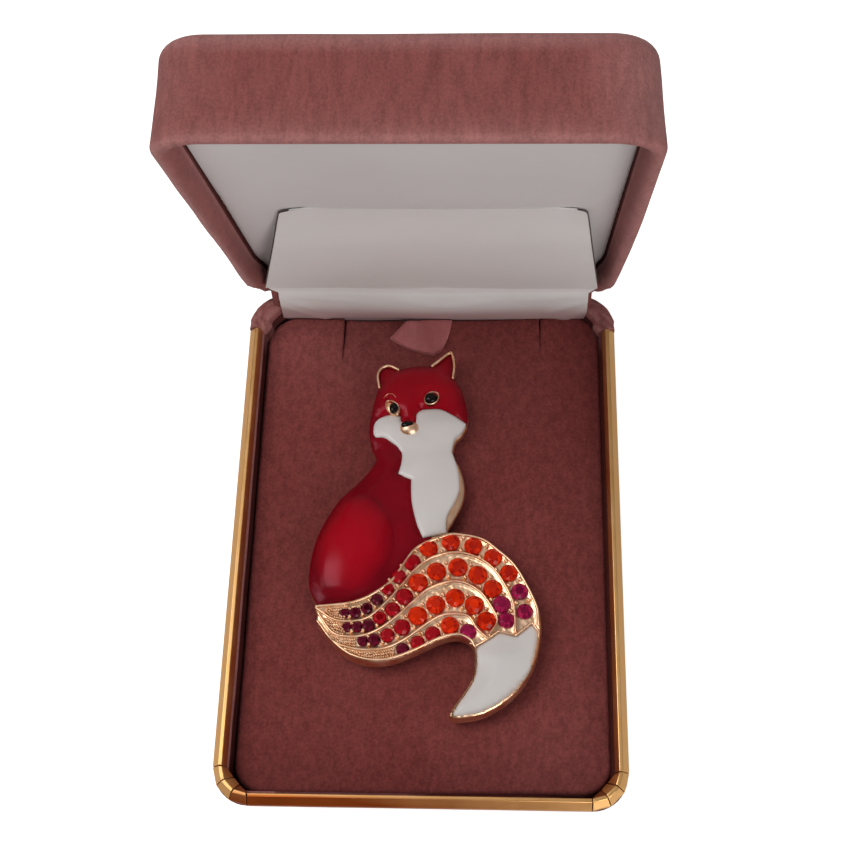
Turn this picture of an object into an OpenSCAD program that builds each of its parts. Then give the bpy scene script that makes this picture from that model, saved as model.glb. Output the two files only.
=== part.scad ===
// Fox brooch lying on the pad of its open, hinged presentation box.
// The origin is the middle of the underside of the box, and the front of the box faces -Y.

/* [Box] */
// Width of the box across its rim
box_w = 66; // [62:1:80]
// Length of the box along its rim
box_l = 93; // [88:1:110]
// Height of the base from its underside to its rim
base_h = 13.6; // [12.6:0.2:20]
// Height of the lid from its rim to its top
lid_h = 15; // [12:0.5:22]
// Angle at which the lid stands open
lid_open = 70; // [40:5:85]
// How far a wall leans in for each millimetre away from the rim
wall_lean = 0.075; // [0:0.005:0.1]
// Radius of the front corners of the base
base_corner_r = 6; // [5:0.5:9]
// Radius of the front corners of the lid
lid_corner_r = 7.5; // [6:0.5:10]
// Radius of the back corners of the base and the lid
back_corner_r = 6; // [5:0.5:8]
// Radius of the back corners inside the base
recess_back_r = 1.5; // [1:0.1:1.8]
// Rounding of the outer edges of the underside and the top
edge_r = 2.1; // [1:0.1:3]
// Thickness of the floor, the lid's top and the back walls
wall_t = 1.6; // [1.2:0.1:2]
// Thickness of the lid's side and front walls
lid_wall_t = 2.4; // [2:0.1:3]
// Gap between the two rims when the lid is shut
rim_gap = 0.3; // [0.2:0.1:0.8]

/* [Rim band] */
// Width of the gold band on the rim of the base
band_w = 1.9; // [1.4:0.1:2.4]
// Height of the gold band
band_h = 2.2; // [1.6:0.1:3]
// Width of the bevel on the outer edge of the band
bevel_w = 1; // [0.5:0.1:1.2]
// Height of the bevel on the outer edge of the band
bevel_h = 1.1; // [0.5:0.1:1.4]
// Distance from the back of the box to the ends of the band
band_stop = 7; // [6.5:0.5:12]
// Flat facets that turn each front corner of the band
corner_facets = 3; // [2:1:6]

/* [Lining and pad] */
// Width of the velvet collar inside the rim
collar_w = 0.5; // [0.4:0.1:1.4]
// How far the top of the collar lies below the rim
collar_drop = 1.1; // [0.5:0.1:1.6]
// How far the top of the pad lies below the rim
pad_drop = 5; // [4.5:0.1:6]
// Gap between the pad and the collar
pad_gap = 0.4; // [0.3:0.1:1.2]
// Radius of the corners of the pad
pad_corner_r = 6; // [4:0.5:9]
// Rounding of the top edge of the pad
pad_edge_r = 1.5; // [0.8:0.1:2]
// Width of the two slits in the pad
slit_w = 0.7; // [0.5:0.1:1]
// Depth of the two slits in the pad
slit_depth = 3; // [2:0.5:4]
// Distance from the middle of the pad to the left slit
slit_left_x = 16.2; // [14:0.1:22]
// Length of the left slit
slit_left_l = 9.6; // [6:0.2:12]
// Distance from the middle of the pad to the right slit
slit_right_x = 19.7; // [14:0.1:22]
// Length of the right slit
slit_right_l = 6.7; // [5:0.1:10]
// Thickness of the ribbon that lifts the pad
tab_t = 0.8; // [0.5:0.1:1]
// Width of the ribbon that lifts the pad
tab_w = 11; // [8:0.5:14]
// Length of the ribbon that lifts the pad
tab_l = 6.4; // [5:0.2:7]
// Distance from the middle of the pad to the ribbon, towards the left
tab_x = 2.3; // [0:0.1:6]
// How far the lining lies below the rim of the lid
lining_drop = 3.6; // [3.3:0.1:5]
// Rounding of the edge of the lining
lining_edge_r = 0.9; // [0.5:0.1:1.2]

/* [Hinge] */
// Length of the hinge along the back
hinge_w = 52; // [40:1:56]
// Diameter of the hinge barrel
barrel_d = 1.8; // [1.5:0.1:2]
// Diameter of the hinge pin
hinge_pin_d = 0.9; // [0.7:0.1:1]
// Thickness of the hinge leaves
leaf_t = 0.4; // [0.3:0.05:0.5]
// How far each leaf reaches from the rim
leaf_drop = 4; // [3:0.2:4.4]

/* [Satin hinge cover] */
// Thickness of the satin covered card
cover_t = 0.4; // [0.3:0.05:0.5]
// Distance from each side of the box to the strip behind the pad
strip_side = 5; // [4.5:0.5:9]
// Height of the strip above the rim
strip_rise = 2.9; // [2:0.1:3]
// How far the strip reaches below the rim
strip_drop = 9; // [7:0.5:9.5]
// Width of the flap in the lid at its fold
flap_w = 59.5; // [50:0.5:60]
// Width of the flap in the lid at its far edge
flap_top_w = 47; // [40:0.5:50]
// How far the far edge of the flap lies off the middle, towards the right
flap_shift = 2.1; // [0:0.1:3]
// Distance from the hinge to the fold of the flap
flap_start = 4.6; // [4.4:0.1:6]
// Distance from the hinge to the far edge of the flap
flap_end = 47.5; // [35:0.5:60]
// Radius of the far corners of the flap
flap_corner_r = 3; // [1:0.5:6]

/* [Brooch] */
// Width of the brooch
brooch_w = 39; // [36:0.5:42]
// Height of the brooch, from the tip of the tail to the tip of the ear
brooch_h = 67; // [62:0.5:70]
// Distance of the middle of the brooch from the middle of the box, towards the left
brooch_left = 0.3; // [0:0.1:3]
// Distance of the middle of the brooch from the middle of the box, towards the back
brooch_back = 1.5; // [0:0.1:2]
// Thickness of the cast back plate
plate_t = 1.4; // [1:0.1:2]
// How far the plate stands out round the enamel
plate_edge = 0.25; // [0.15:0.05:0.4]
// Thickness of the enamel at its edges
enamel_t = 1; // [0.8:0.1:1.2]
// Rise of the haunch above the edge of the enamel
haunch_rise = 1.8; // [1:0.1:2.2]
// Rise of the shoulder above the edge of the enamel
shoulder_rise = 1; // [0.5:0.1:1.4]
// Rise of the head above the edge of the enamel
head_rise = 1.3; // [0.8:0.1:1.8]
// Rise of the chest above the edge of the enamel
chest_rise = 0.7; // [0.4:0.1:1.2]
// Rise of the tail's tip above the edge of the enamel
tip_rise = 1; // [0.5:0.1:1.4]
// Thickness of the tail above the plate
tail_t = 1.6; // [1.4:0.1:2]
// Width of the raised rails
rail_w = 0.55; // [0.4:0.05:0.7]
// Height of the raised rails above the tail
rail_rise = 0.5; // [0.3:0.05:0.8]
// Width of the gold rims of the ears
ear_rim_w = 0.6; // [0.4:0.05:0.8]
// Width of an eye with its rim
eye_w = 2.3; // [2:0.1:2.6]
// Height of an eye with its rim
eye_h = 2.6; // [2.2:0.1:3]
// Width of the rim round each pupil
eye_rim = 0.35; // [0.25:0.05:0.5]
// Height of the eyes above the edge of the enamel
eye_rise = 1.5; // [1.3:0.1:1.9]
// Width of the nose
nose_w = 3.2; // [2.8:0.1:3.4]
// Height of the nose
nose_h = 2.9; // [2.5:0.1:3.1]
// Rise of the nose above the edge of the enamel
nose_rise = 1.5; // [1:0.1:2]

/* [Stones] */
// Height of a stone above its girdle, as a share of its diameter
crown = 0.16; // [0.1:0.01:0.2]
// Depth of a stone below its girdle, as a share of its diameter
pavilion = 0.3; // [0.2:0.01:0.36]
// Width of the flat top of a stone, as a share of its diameter
table = 0.58; // [0.5:0.01:0.7]
// Facets round a stone
stone_sides = 12; // [8:1:16]

/* [Pin] */
// Height that the pin fitting holds the brooch above the pad
pin_h = 1.6; // [1.5:0.1:2.4]
// Length of the pin fitting
pin_l = 30; // [24:1:32]
// Width of the plate of the pin fitting
pin_plate_w = 4; // [3:0.5:5]
// Diameter of the pin stem
stem_d = 0.9; // [0.7:0.1:1]

/* [Hidden] */
// Gap between pieces that are seated against each other
fit_gap = 0.03;
// Running clearance round the hinge pin and between the knuckles
run_gap = 0.05;
// Smallest corner radius that a thick wall leaves
min_r = 0.8;
// Steps that turn a round corner, round an edge, and join two points of a drawn line
corner_steps = 6;
edge_steps = 3;
line_steps = 3;
dome_rings = 4;

hinge_y = box_l / 2;
rim_z = base_h - rim_gap / 2;
pad_z = base_h - pad_drop;
strip_w = box_w - 2 * strip_side;
pad_side = band_w + collar_w + pad_gap;
leaf_y = hinge_y - wall_t - wall_lean * leaf_drop - fit_gap;
strip_y = leaf_y - leaf_t - fit_gap;
pad_back = hinge_y - strip_y + cover_t + fit_gap;
lining_back = wall_t + wall_lean * leaf_drop + leaf_t + 2 * fit_gap;
brooch_z = pad_z + pin_h + 2 * fit_gap;
enamel_z = plate_t + fit_gap;
enamel_top = enamel_z + enamel_t;
tail_top = plate_t + tail_t;
eye_top = enamel_top + eye_rise;
nose_top = enamel_top + nose_rise;
knuckles = 5;

// Drawn lines of the brooch. The columns are: share of the width from the middle, share of
// the height from the tip of the tail, both in hundredths, and a 1 where the line has a corner.
HEAD_LINE = [
  [-25.4, 80], [-24.6, 83.6], [-23.6, 86.3], [-22.4, 89.6], [-23.5, 92.8], [-21.5, 95.1],
  [-18, 95.8], [-13.6, 94.6, 1], [-5, 95.7], [1, 95.6, 1], [9.2, 99.9], [11, 99.2],
  [12.1, 95.4], [11.5, 91.9, 1], [14.6, 89], [16.9, 85], [18.2, 80.6], [17.3, 78.2, 1],
  [10, 77.6], [-7.7, 75.5], [-20.5, 74.7]
];
BODY_LINE = [
  [-24.9, 82], [-25.9, 77.6], [-25.6, 73.6], [-24.3, 71], [-21.8, 68], [-28.2, 62.4],
  [-37.4, 56.7], [-43.6, 50.4], [-47.4, 44.3], [-49, 37.6], [-48.5, 32.4], [-44.6, 28.1, 1],
  [-15.4, 30], [2.6, 43.3], [5, 59.7], [0, 77.6]
];
WHITE_LINE = [
  [-12.6, 80.9], [-18.7, 80.7], [-23.1, 79], [-24.1, 76.2], [-22.8, 74.5], [-18.5, 74.2],
  [-11, 70], [-12.3, 64, 1], [-6.4, 62.4, 1], [-5.9, 56.3], [-3.3, 50], [-0.5, 46.3, 1],
  [9.7, 47.8, 1], [9.7, 52.2], [13.3, 57], [14.9, 60.4], [14.1, 65.4], [11.3, 70.4, 1],
  [12.3, 74], [15.4, 76.1], [17.4, 78.5, 1], [10.8, 81.2], [5.1, 82.8], [-2.6, 82.5, 1],
  [-4.9, 81.2], [-5.6, 78.5], [-11.3, 78.8]
];
TAIL_LINE = [
  [-45.6, 27.9, 1], [-41.5, 28.1], [-31, 29.1], [-21.8, 31.2], [-12.8, 35.4], [-7.4, 40.3],
  [-2.1, 44.2], [9.5, 47.3], [15.1, 47.6], [25.1, 46.4], [32.3, 43.3], [39.5, 39.3],
  [45.1, 33.6], [49.2, 28.1], [50.3, 23.3], [49.2, 17.9], [46.4, 12.4], [41.5, 7.8],
  [34.6, 3.9], [25.6, 1], [17.9, 0.1], [13.6, 0.1], [12.3, 1.2], [16.7, 5.1], [21, 9.3],
  [22.6, 13.7], [21.5, 18.4], [15.9, 20.4], [8.2, 19.6], [-2.1, 16.6], [-12.3, 14.2],
  [-20.8, 13.7], [-29.7, 15.1], [-37.2, 18.4], [-44.1, 23.3, 1]
];
TIP_LINE = [
  [22.8, 18.1, 1], [27.7, 19.9], [32.3, 21.9, 1], [39.5, 20.9, 1], [46.2, 24.2, 1],
  [48.7, 21.8], [48.2, 17.9], [45.6, 12.4], [40.8, 8.1], [33.8, 4.3], [25.1, 1.6],
  [17.9, 0.6], [14.1, 0.7], [13.6, 1.5], [17.4, 5.1], [21.8, 9.3], [23.3, 13.7]
];
HAUNCH_LINE = [
  [-26.2, 56.7], [-17.7, 53], [-13.8, 47], [-12.8, 40.3], [-15.1, 34.9], [-22.6, 32.1],
  [-32.1, 30.3], [-42.1, 29.6], [-46.7, 32.7], [-47.4, 37.8], [-45.9, 44.2], [-42.3, 50.1],
  [-35.9, 55.2]
];
SHOULDER_LINE = [
  [-21.5, 72.5], [-13.3, 69.3], [-13.8, 63.6], [-7.9, 61.2], [-7.4, 56.1], [-4.9, 49.9],
  [-4.1, 44.8], [-10, 40.9], [-23.1, 44.8], [-35.9, 55.2], [-27.7, 61.5], [-20.5, 67]
];
CROWN_LINE = [
  [-23.6, 85.8], [-21.3, 89.6], [-21.8, 92.8], [-20, 94.3], [-14.4, 93.7], [-5.1, 94.8],
  [2.1, 94.8], [9.2, 98.2], [10.8, 95.4], [10, 91.6], [13.3, 88.5], [15.6, 85.1], [16.7, 81.3],
  [11, 82.4], [5.1, 83.9], [-3.3, 83.4], [-6.2, 81.5], [-11.3, 80.9], [-13.8, 81.9],
  [-19, 81.6], [-23.6, 80.6]
];
CHEEK_LINE = [
  [-4.4, 80.9], [-2.2, 82.1], [5, 82.4], [10.6, 80.8], [16.4, 78.4], [14.8, 76.4],
  [12, 74.3], [10.9, 70.8], [4, 66], [-6, 67], [-9, 71], [-7, 76]
];
CHEST_LINE = [
  [-9.8, 70.2], [0, 73], [10.8, 70.4], [13.6, 65.3], [14.3, 60.4], [12.8, 57], [9.2, 52.3],
  [9, 48.6], [0.2, 47.6], [-2.6, 50.2], [-5.2, 56.5], [-5.8, 62.9], [-11.2, 64.3], [-9.9, 68]
];
// Where the plate stands out past the chest
LEDGE_LINE = [
  [11.3, 70.4, 1], [15, 66.5], [17.2, 61.5], [16.6, 57], [13.5, 52.8], [9.7, 48.4, 1], [5, 58]
];
// Where the gold rims of the ears run: left, low, right and high
EARS = [[-26, 89.5, -13.5, 98], [0.8, 91.5, 14, 102]];
// The four raised rails of the tail and its lower edge, from the left end
RAILS = [
  [[-44.8, 27.6], [-31, 28.6], [-21.8, 30.8], [-13, 34.8], [-7.6, 39.8], [-2.1, 43.8],
   [9.5, 46.8], [15.1, 47.1], [25, 45.9], [32, 42.9], [39, 39], [44.5, 33.4], [48.4, 28.1],
   [49.2, 23.6]],
  [[-45, 27.6], [-37.7, 24.8], [-31.3, 24.2], [-23.6, 25.1], [-16.7, 28.4], [-10, 33],
   [-3.1, 38.2], [3.8, 41.3], [13.1, 42.7], [22.3, 41.6], [29.5, 38.8], [35.1, 34],
   [38.7, 28.8], [39.5, 22]],
  [[-44.1, 26.4], [-37.4, 21.3], [-30.3, 20.3], [-23.3, 20.9], [-16.4, 23], [-9.5, 26.3],
   [-4.1, 29.4], [2.8, 33.1], [11.3, 34.9], [18.2, 34.5], [24.6, 32.2], [29, 28.7],
   [31.8, 24.9], [28.4, 21]],
  [[-44.1, 24.3], [-37.2, 19.3], [-30, 17.5], [-21.5, 17], [-13.3, 17.9], [-5.9, 20.3],
   [1, 23.4], [7.9, 26], [14.9, 26.4], [20, 25.7], [23.3, 22.7], [27.7, 20.4]],
  [[-43.3, 23.6], [-37, 19], [-29.6, 15.7], [-20.8, 14.3], [-12.3, 14.8], [-2.1, 17.2],
   [8, 20.2], [15.7, 21], [20.8, 19.6], [22.4, 18]]
];
// The line along which each row of stones is set, from the left end
STONE_LINES = [
  [[-33.1, 26.6], [-24.1, 27.8], [-14.9, 33.3], [-5.4, 39.7], [2.1, 43.7], [12.6, 45.1],
   [22.1, 43.6], [30.5, 40.8], [36.9, 37], [41.3, 32.5], [43.6, 26.8]],
  [[-31.5, 22.4], [-23.1, 22.9], [-13.1, 27.2], [-3.3, 33.7], [3.1, 36.9], [13.3, 38.8],
   [22.8, 36.7], [30, 32.7], [35.6, 24.9]],
  [[-24.9, 18.9], [-15.6, 20], [-3.1, 25.1], [4.4, 28.2], [12.8, 30.5], [21.5, 29],
   [26.9, 24.6]],
  [[-7.7, 17.4], [-1.5, 19], [4.6, 21.2], [11.8, 23.5], [19.5, 22.2]]
];
// One row for each row of stones: how many of each colour from the left (dark, red, orange and
// purple), the diameters along the row, and the spare room between stones along the row.
// The last two are pairs: share of the row, millimetres.
STONE_ROWS = [
  [[4, 3, 5, 2], [[0, 1.7], [0.3, 2], [0.5, 2.9], [0.8, 2.9], [1, 2.5]], [[0, 0.1], [0.5, 1], [1, 1]]],
  [[3, 3, 5, 2], [[0, 1.6], [0.3, 2.3], [0.5, 3.1], [0.8, 3.1], [1, 2.6]], [[0, 0.1], [0.6, 1], [1, 0.2]]],
  [[2, 2, 5, 0], [[0, 1.7], [0.3, 2.4], [0.5, 3.1], [1, 3]], [[0, 0.15], [0.5, 0.6], [1, 0.5]]],
  [[1, 2, 1, 1], [[0, 2.1], [0.5, 2.5], [0.8, 3], [1, 2.6]], [[0, 0.3], [1, 0.3]]]
];
STONE_COLORS = ["#50101c", "#a01226", "#e04018", "#9c1c5c"];
LEFT_EYE = [-15.9, 83.4];
RIGHT_EYE = [1.8, 86.1];
NOSE = [-7.9, 77.9];
HAUNCH_MIDDLE = [-30.3, 41.8];
SHOULDER_MIDDLE = [-14.1, 56.7];
CROWN_MIDDLE = [-4.6, 87.8];
CHEEK_MIDDLE = [4, 75];
CHEST_MIDDLE = [3.5, 63];
TIP_MIDDLE = [35, 13.4];
PIN_MIDDLE = [-10, 57];

function row_count(r) = sum(STONE_ROWS[r][0], 3);
function stone_name(r, i) = str("row", r + 1, "_stone", i < 9 ? "0" : "", i + 1);
STONES = [for (r = [0:len(STONE_ROWS) - 1]) for (i = [0:row_count(r) - 1]) [r, i]];

// Sum of the first values of a list, up to number i
function sum(v, i) = i < 0 ? 0 : v[i] + sum(v, i - 1);
function leaned(depth) = wall_lean * depth;

// Point of the brooch from a row of one of the tables
function at(p) = [p[0] / 100 * brooch_w, (p[1] / 100 - 0.5) * brooch_h];

// Smooth line through the rows of a table, with corners where the third column says so
function slope(t, i, closed) =
  let (n = len(t), a = (i + n - 1) % n, b = (i + 1) % n)
  t[i][2] == 1 ? [0, 0]
  : closed || (i > 0 && i < n - 1) ? (at(t[b]) - at(t[a])) / 2
  : i == 0 ? at(t[1]) - at(t[0])
  : at(t[n - 1]) - at(t[n - 2]);
function blend(p, q, u, v, s) =
  (2 * pow(s, 3) - 3 * s * s + 1) * p + (pow(s, 3) - 2 * s * s + s) * u
  + (3 * s * s - 2 * pow(s, 3)) * q + (pow(s, 3) - s * s) * v;
function drawn(t, closed = true) =
  let (n = len(t), spans = closed ? n : n - 1)
  concat(
    [for (i = [0:spans - 1]) for (k = [0:line_steps - 1])
      blend(at(t[i]), at(t[(i + 1) % n]), slope(t, i, closed), slope(t, (i + 1) % n, closed),
            k / line_steps)],
    closed ? [] : [at(t[n - 1])]
  );

// Ribbon of an even width along an open line
function across(line, i) =
  let (n = len(line), d = line[min(i + 1, n - 1)] - line[max(i - 1, 0)])
  [-d[1], d[0]] / norm(d);
function ribbon(line, w) = concat(
  [for (i = [0:len(line) - 1]) line[i] + across(line, i) * w / 2],
  [for (i = [len(line) - 1:-1:0]) line[i] - across(line, i) * w / 2]
);

// Point at a distance along an open line
function along(line, s, i = 0) =
  let (step = norm(line[i + 1] - line[i]))
  s <= step || i == len(line) - 2 ? line[i] + (line[i + 1] - line[i]) * min(s / step, 1)
  : along(line, s - step, i + 1);
function line_length(line) = sum([for (i = [0:len(line) - 2]) norm(line[i + 1] - line[i])], len(line) - 2);

function ellipse(w, h, n = 24) = [for (k = [0:n - 1]) [w / 2 * cos(360 * k / n), h / 2 * sin(360 * k / n)]];

// Solid through rings of points that lie one above another, closed at both ends
module stack(rings) {
  n = len(rings[0]);
  m = len(rings);
  sides = [for (i = [0:m - 2]) for (k = [0:n - 1])
    let (a = i * n + k, d = i * n + (k + 1) % n, b = a + n, c = d + n)
    each [[a, b, c], [a, c, d]]];
  first = [for (k = [0:n - 1]) k];
  last = [for (k = [n - 1:-1:0]) (m - 1) * n + k];
  polyhedron([for (r = rings) each r], concat(sides, [first, last]), convexity = 6);
}

// Rounded rectangle inside the outline of the box, as a ring at height z
function turn(x, y, r, a) = [for (k = [0:corner_steps])
  [x + r * cos(a + 90 * k / corner_steps), y + r * sin(a + 90 * k / corner_steps)]];
function ring(side, back, front_r, back_r, z) =
  let (x = box_w / 2 - side, y0 = -box_l / 2 + side, y1 = box_l / 2 - back,
       f = max(front_r, min_r), b = max(back_r, min_r))
  [for (p = concat(turn(x - b, y1 - b, b, 0), turn(-x + b, y1 - b, b, 90),
                   turn(-x + f, y0 + f, f, 180), turn(x - f, y0 + f, f, 270))) [p[0], p[1], z]];

// The lid is drawn shut and turned open about the hinge
module on_lid() {
  translate([0, hinge_y, base_h]) rotate([-lid_open, 0, 0]) translate([0, -hinge_y, 0]) children();
}
module on_brooch() {
  translate([-brooch_left, brooch_back, brooch_z]) children();
}

// Line of the rim band at a distance inside the outline of the box
function band_line(inset, stop) =
  let (x = box_w / 2 - base_corner_r, y = -box_l / 2 + base_corner_r, r = base_corner_r - inset,
       turn_step = 90 / corner_facets)
  concat(
    [[x + r, hinge_y - stop]],
    [for (k = [0:corner_facets]) [x + r * cos(turn_step * k), y - r * sin(turn_step * k)]],
    [for (k = [corner_facets:-1:0]) [-x - r * cos(turn_step * k), y - r * sin(turn_step * k)]],
    [[-x - r, hinge_y - stop]]
  );

module base_shell() {
  edge = [for (k = [0:edge_steps])
    let (a = 90 * k / edge_steps, z = edge_r * (1 - cos(a)), i = leaned(base_h - z) + edge_r * (1 - sin(a)))
    ring(i, i, base_corner_r - i, back_corner_r - i, z)];
  lip = 0.4;
  inner = band_w + collar_w;
  rest = [
    ring(leaned(lip), leaned(lip), base_corner_r, back_corner_r, rim_z - lip),
    ring(lip, lip, base_corner_r - lip, back_corner_r - lip, rim_z),
    ring(band_w, wall_t, base_corner_r - band_w, back_corner_r - band_w, rim_z),
    ring(band_w, wall_t, base_corner_r - band_w, back_corner_r - band_w, rim_z - collar_drop),
    ring(inner, wall_t, base_corner_r - inner, recess_back_r, rim_z - collar_drop - lip / 2),
    ring(inner + leaned(base_h - wall_t), wall_t + leaned(base_h - wall_t),
         base_corner_r - inner, recess_back_r, wall_t)
  ];
  groove_depth = band_h + fit_gap;
  slot_depth = barrel_d / 2 + 4 * run_gap;
  color("#8c4c4e") difference() {
    stack(concat(edge, rest));
    translate([0, 0, rim_z - groove_depth])
      linear_extrude(groove_depth + 1)
        polygon(concat(band_line(-3, band_stop - fit_gap),
                       [for (p = reverse(band_line(band_w + fit_gap, band_stop - fit_gap))) p]));
    translate([-hinge_w / 2 - 4 * run_gap, hinge_y - wall_t - 1, base_h - slot_depth])
      cube([hinge_w + 8 * run_gap, wall_t + 2, slot_depth + 1]);
  }
}
function reverse(v) = [for (i = [len(v) - 1:-1:0]) v[i]];

module rim_band() {
  section = [
    [leaned(band_h), rim_z - band_h], [leaned(bevel_h), rim_z - bevel_h], [bevel_w, rim_z],
    [band_w, rim_z], [band_w, rim_z - band_h]
  ];
  rings = [for (s = section) [for (p = band_line(s[0], band_stop)) [p[0], p[1], s[1]]]];
  n = len(rings[0]);
  m = len(section);
  sides = [for (i = [0:m - 1]) for (k = [0:n - 2])
    let (j = (i + 1) % m, a = i * n + k, b = j * n + k)
    each [[a, a + 1, b + 1], [a, b + 1, b]]];
  start = [for (i = [0:m - 1]) i * n];
  end = [for (i = [m - 1:-1:0]) i * n + n - 1];
  color("#cfa05e") polyhedron([for (r = rings) each r], concat(sides, [start, end]), convexity = 6);
}

module pad() {
  low = wall_t + fit_gap;
  wall = ring(pad_side + leaned(base_h - low), pad_back, pad_corner_r, pad_corner_r, low);
  edge = [for (k = [0:edge_steps])
    let (a = 90 * k / edge_steps, i = pad_edge_r * (1 - cos(a)), z = pad_z - pad_edge_r * (1 - sin(a)))
    ring(pad_side + leaned(base_h - z) + i, pad_back + i, pad_corner_r - i, pad_corner_r - i, z)];
  color("#6e3536") difference() {
    stack(concat([wall], edge));
    slit(-slit_left_x, slit_left_l);
    slit(slit_right_x, slit_right_l);
  }
}
module slit(x, l) {
  translate([x - slit_w / 2, hinge_y - pad_back - l, pad_z - slit_depth])
    cube([slit_w, l + 1, slit_depth + 1]);
}

module pull_tab() {
  y = hinge_y - pad_back - pad_edge_r / 2;
  half = tab_w / 2;
  color("#a4686c") translate([-tab_x, y, pad_z + fit_gap]) linear_extrude(tab_t)
    polygon([[-half * 0.45, 0], [-half, -tab_l * 0.45], [-half * 0.1, -tab_l * 0.93],
             [half * 0.3, -tab_l], [half * 0.75, -tab_l * 0.75], [half, -tab_l * 0.15], [half * 0.9, 0]]);
}

module strip() {
  color("#cfc7c4") translate([-strip_w / 2, strip_y - cover_t, base_h - strip_drop])
    cube([strip_w, cover_t, strip_drop + strip_rise]);
}

module flap() {
  rise = lining_drop - cover_t - fit_gap + rim_gap;
  reach = flap_end - flap_start;
  tilt = atan(rise / reach);
  slant = reach / cos(tilt);
  r = flap_corner_r;
  x1 = flap_shift + flap_top_w / 2;
  x0 = flap_shift - flap_top_w / 2;
  color("#cfc7c4") on_lid() translate([0, hinge_y - flap_start, -rim_gap]) rotate([180 - tilt, 0, 0])
    mirror([0, 0, 1]) linear_extrude(cover_t)
      polygon(concat([[-flap_w / 2, 0], [flap_w / 2, 0]],
        [for (k = [0:4]) [x1 - r + r * cos(90 * k / 4), slant - r + r * sin(90 * k / 4)]],
        [for (k = [0:4]) [x0 + r - r * sin(90 * k / 4), slant - r + r * cos(90 * k / 4)]]));
}

// One knuckle of the hinge barrel, counted from the left
module knuckle(i) {
  l = hinge_w / knuckles;
  translate([-hinge_w / 2 + i * l + run_gap, hinge_y, 0]) rotate([0, 90, 0])
    cylinder(d = barrel_d, h = l - 2 * run_gap, $fn = 32);
}
// The arm that ties a knuckle to its leaf, towards +Z
module knuckle_arm(i) {
  l = hinge_w / knuckles;
  translate([-hinge_w / 2 + i * l + run_gap, leaf_y - leaf_t, barrel_d / 2 - leaf_t])
    cube([l - 2 * run_gap, hinge_y - leaf_y + leaf_t, leaf_t]);
}
module leaf() {
  translate([-hinge_w / 2, leaf_y - leaf_t, barrel_d / 2 - leaf_t])
    cube([hinge_w, leaf_t, leaf_drop - barrel_d / 2 + leaf_t]);
}
module hinge_base() {
  color("#b08a50") translate([0, 0, base_h]) union() {
    for (i = [1:2:knuckles - 1]) knuckle(i);
    mirror([0, 0, 1]) {
      for (i = [1:2:knuckles - 1]) knuckle_arm(i);
      leaf();
    }
    translate([-hinge_w / 2, hinge_y, 0]) rotate([0, 90, 0]) cylinder(d = hinge_pin_d, h = hinge_w, $fn = 32);
  }
}
module hinge_lid() {
  color("#b08a50") on_lid() difference() {
    union() {
      for (i = [0:2:knuckles - 1]) {
        knuckle(i);
        knuckle_arm(i);
      }
      leaf();
    }
    translate([-hinge_w / 2 - 1, hinge_y, 0]) rotate([0, 90, 0])
      cylinder(d = hinge_pin_d + 2 * run_gap, h = hinge_w + 2, $fn = 32);
  }
}

module lid_shell() {
  ceiling = lid_h - wall_t;
  lip = 1.2;
  inside = [for (z = [ceiling, lip + rim_gap])
    ring(lid_wall_t + leaned(z), wall_t + leaned(z), lid_corner_r - lid_wall_t, back_corner_r - wall_t, z)];
  rim = [for (a = [0:45:180])
    let (side = lid_wall_t * (1 + cos(a)) / 2, back = wall_t * (1 + cos(a)) / 2,
         z = rim_gap / 2 + lip * (1 - sin(a)))
    ring(side + leaned(z), back + leaned(z), lid_corner_r - side, back_corner_r - side, z)];
  top = [for (k = [0:edge_steps])
    let (a = 90 * k / edge_steps, z = lid_h - edge_r * (1 - sin(a)), i = leaned(z) + edge_r * (1 - cos(a)))
    ring(i, i, lid_corner_r - i, back_corner_r - i, z)];
  slot_depth = barrel_d / 2 + 4 * run_gap;
  color("#8c4c4e") on_lid() difference() {
    stack(concat(inside, rim, top));
    translate([-hinge_w / 2 - 4 * run_gap, hinge_y - wall_t - 1, -1])
      cube([hinge_w + 8 * run_gap, wall_t + 2, slot_depth + 1]);
  }
}

module lid_lining() {
  low = [for (k = [0:edge_steps])
    let (a = 90 * k / edge_steps, i = lining_edge_r * (1 - sin(a)),
         z = lining_drop + lining_edge_r * (1 - cos(a)), side = lid_wall_t + fit_gap + leaned(z) + i)
    ring(side, lining_back + leaned(z) + i, lid_corner_r - lid_wall_t - i, back_corner_r - wall_t - i, z)];
  z = lid_h - wall_t - fit_gap;
  high = ring(lid_wall_t + fit_gap + leaned(z), lining_back + leaned(z),
              lid_corner_r - lid_wall_t, back_corner_r - wall_t, z);
  color("#d8d1ce") on_lid() stack(concat(low, [high]));
}

// Flat shapes of the brooch
module head_shape() { polygon(drawn(HEAD_LINE)); }
module body_shape() { polygon(drawn(BODY_LINE)); }
module white_shape() { polygon(drawn(WHITE_LINE)); }
module tail_shape() { polygon(drawn(TAIL_LINE)); }
module tip_shape() { polygon(drawn(TIP_LINE)); }
module eye_shape(place) { translate(at(place)) polygon(ellipse(eye_w, eye_h)); }
module nose_shape() { translate(at(NOSE)) polygon(ellipse(nose_w, nose_h)); }
module ear_rims() {
  intersection() {
    difference() {
      offset(delta = plate_edge / 2) head_shape();
      offset(delta = -ear_rim_w) head_shape();
    }
    for (e = EARS) polygon([at([e[0], e[1]]), at([e[2], e[1]]), at([e[2], e[3]]), at([e[0], e[3]])]);
  }
}
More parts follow.
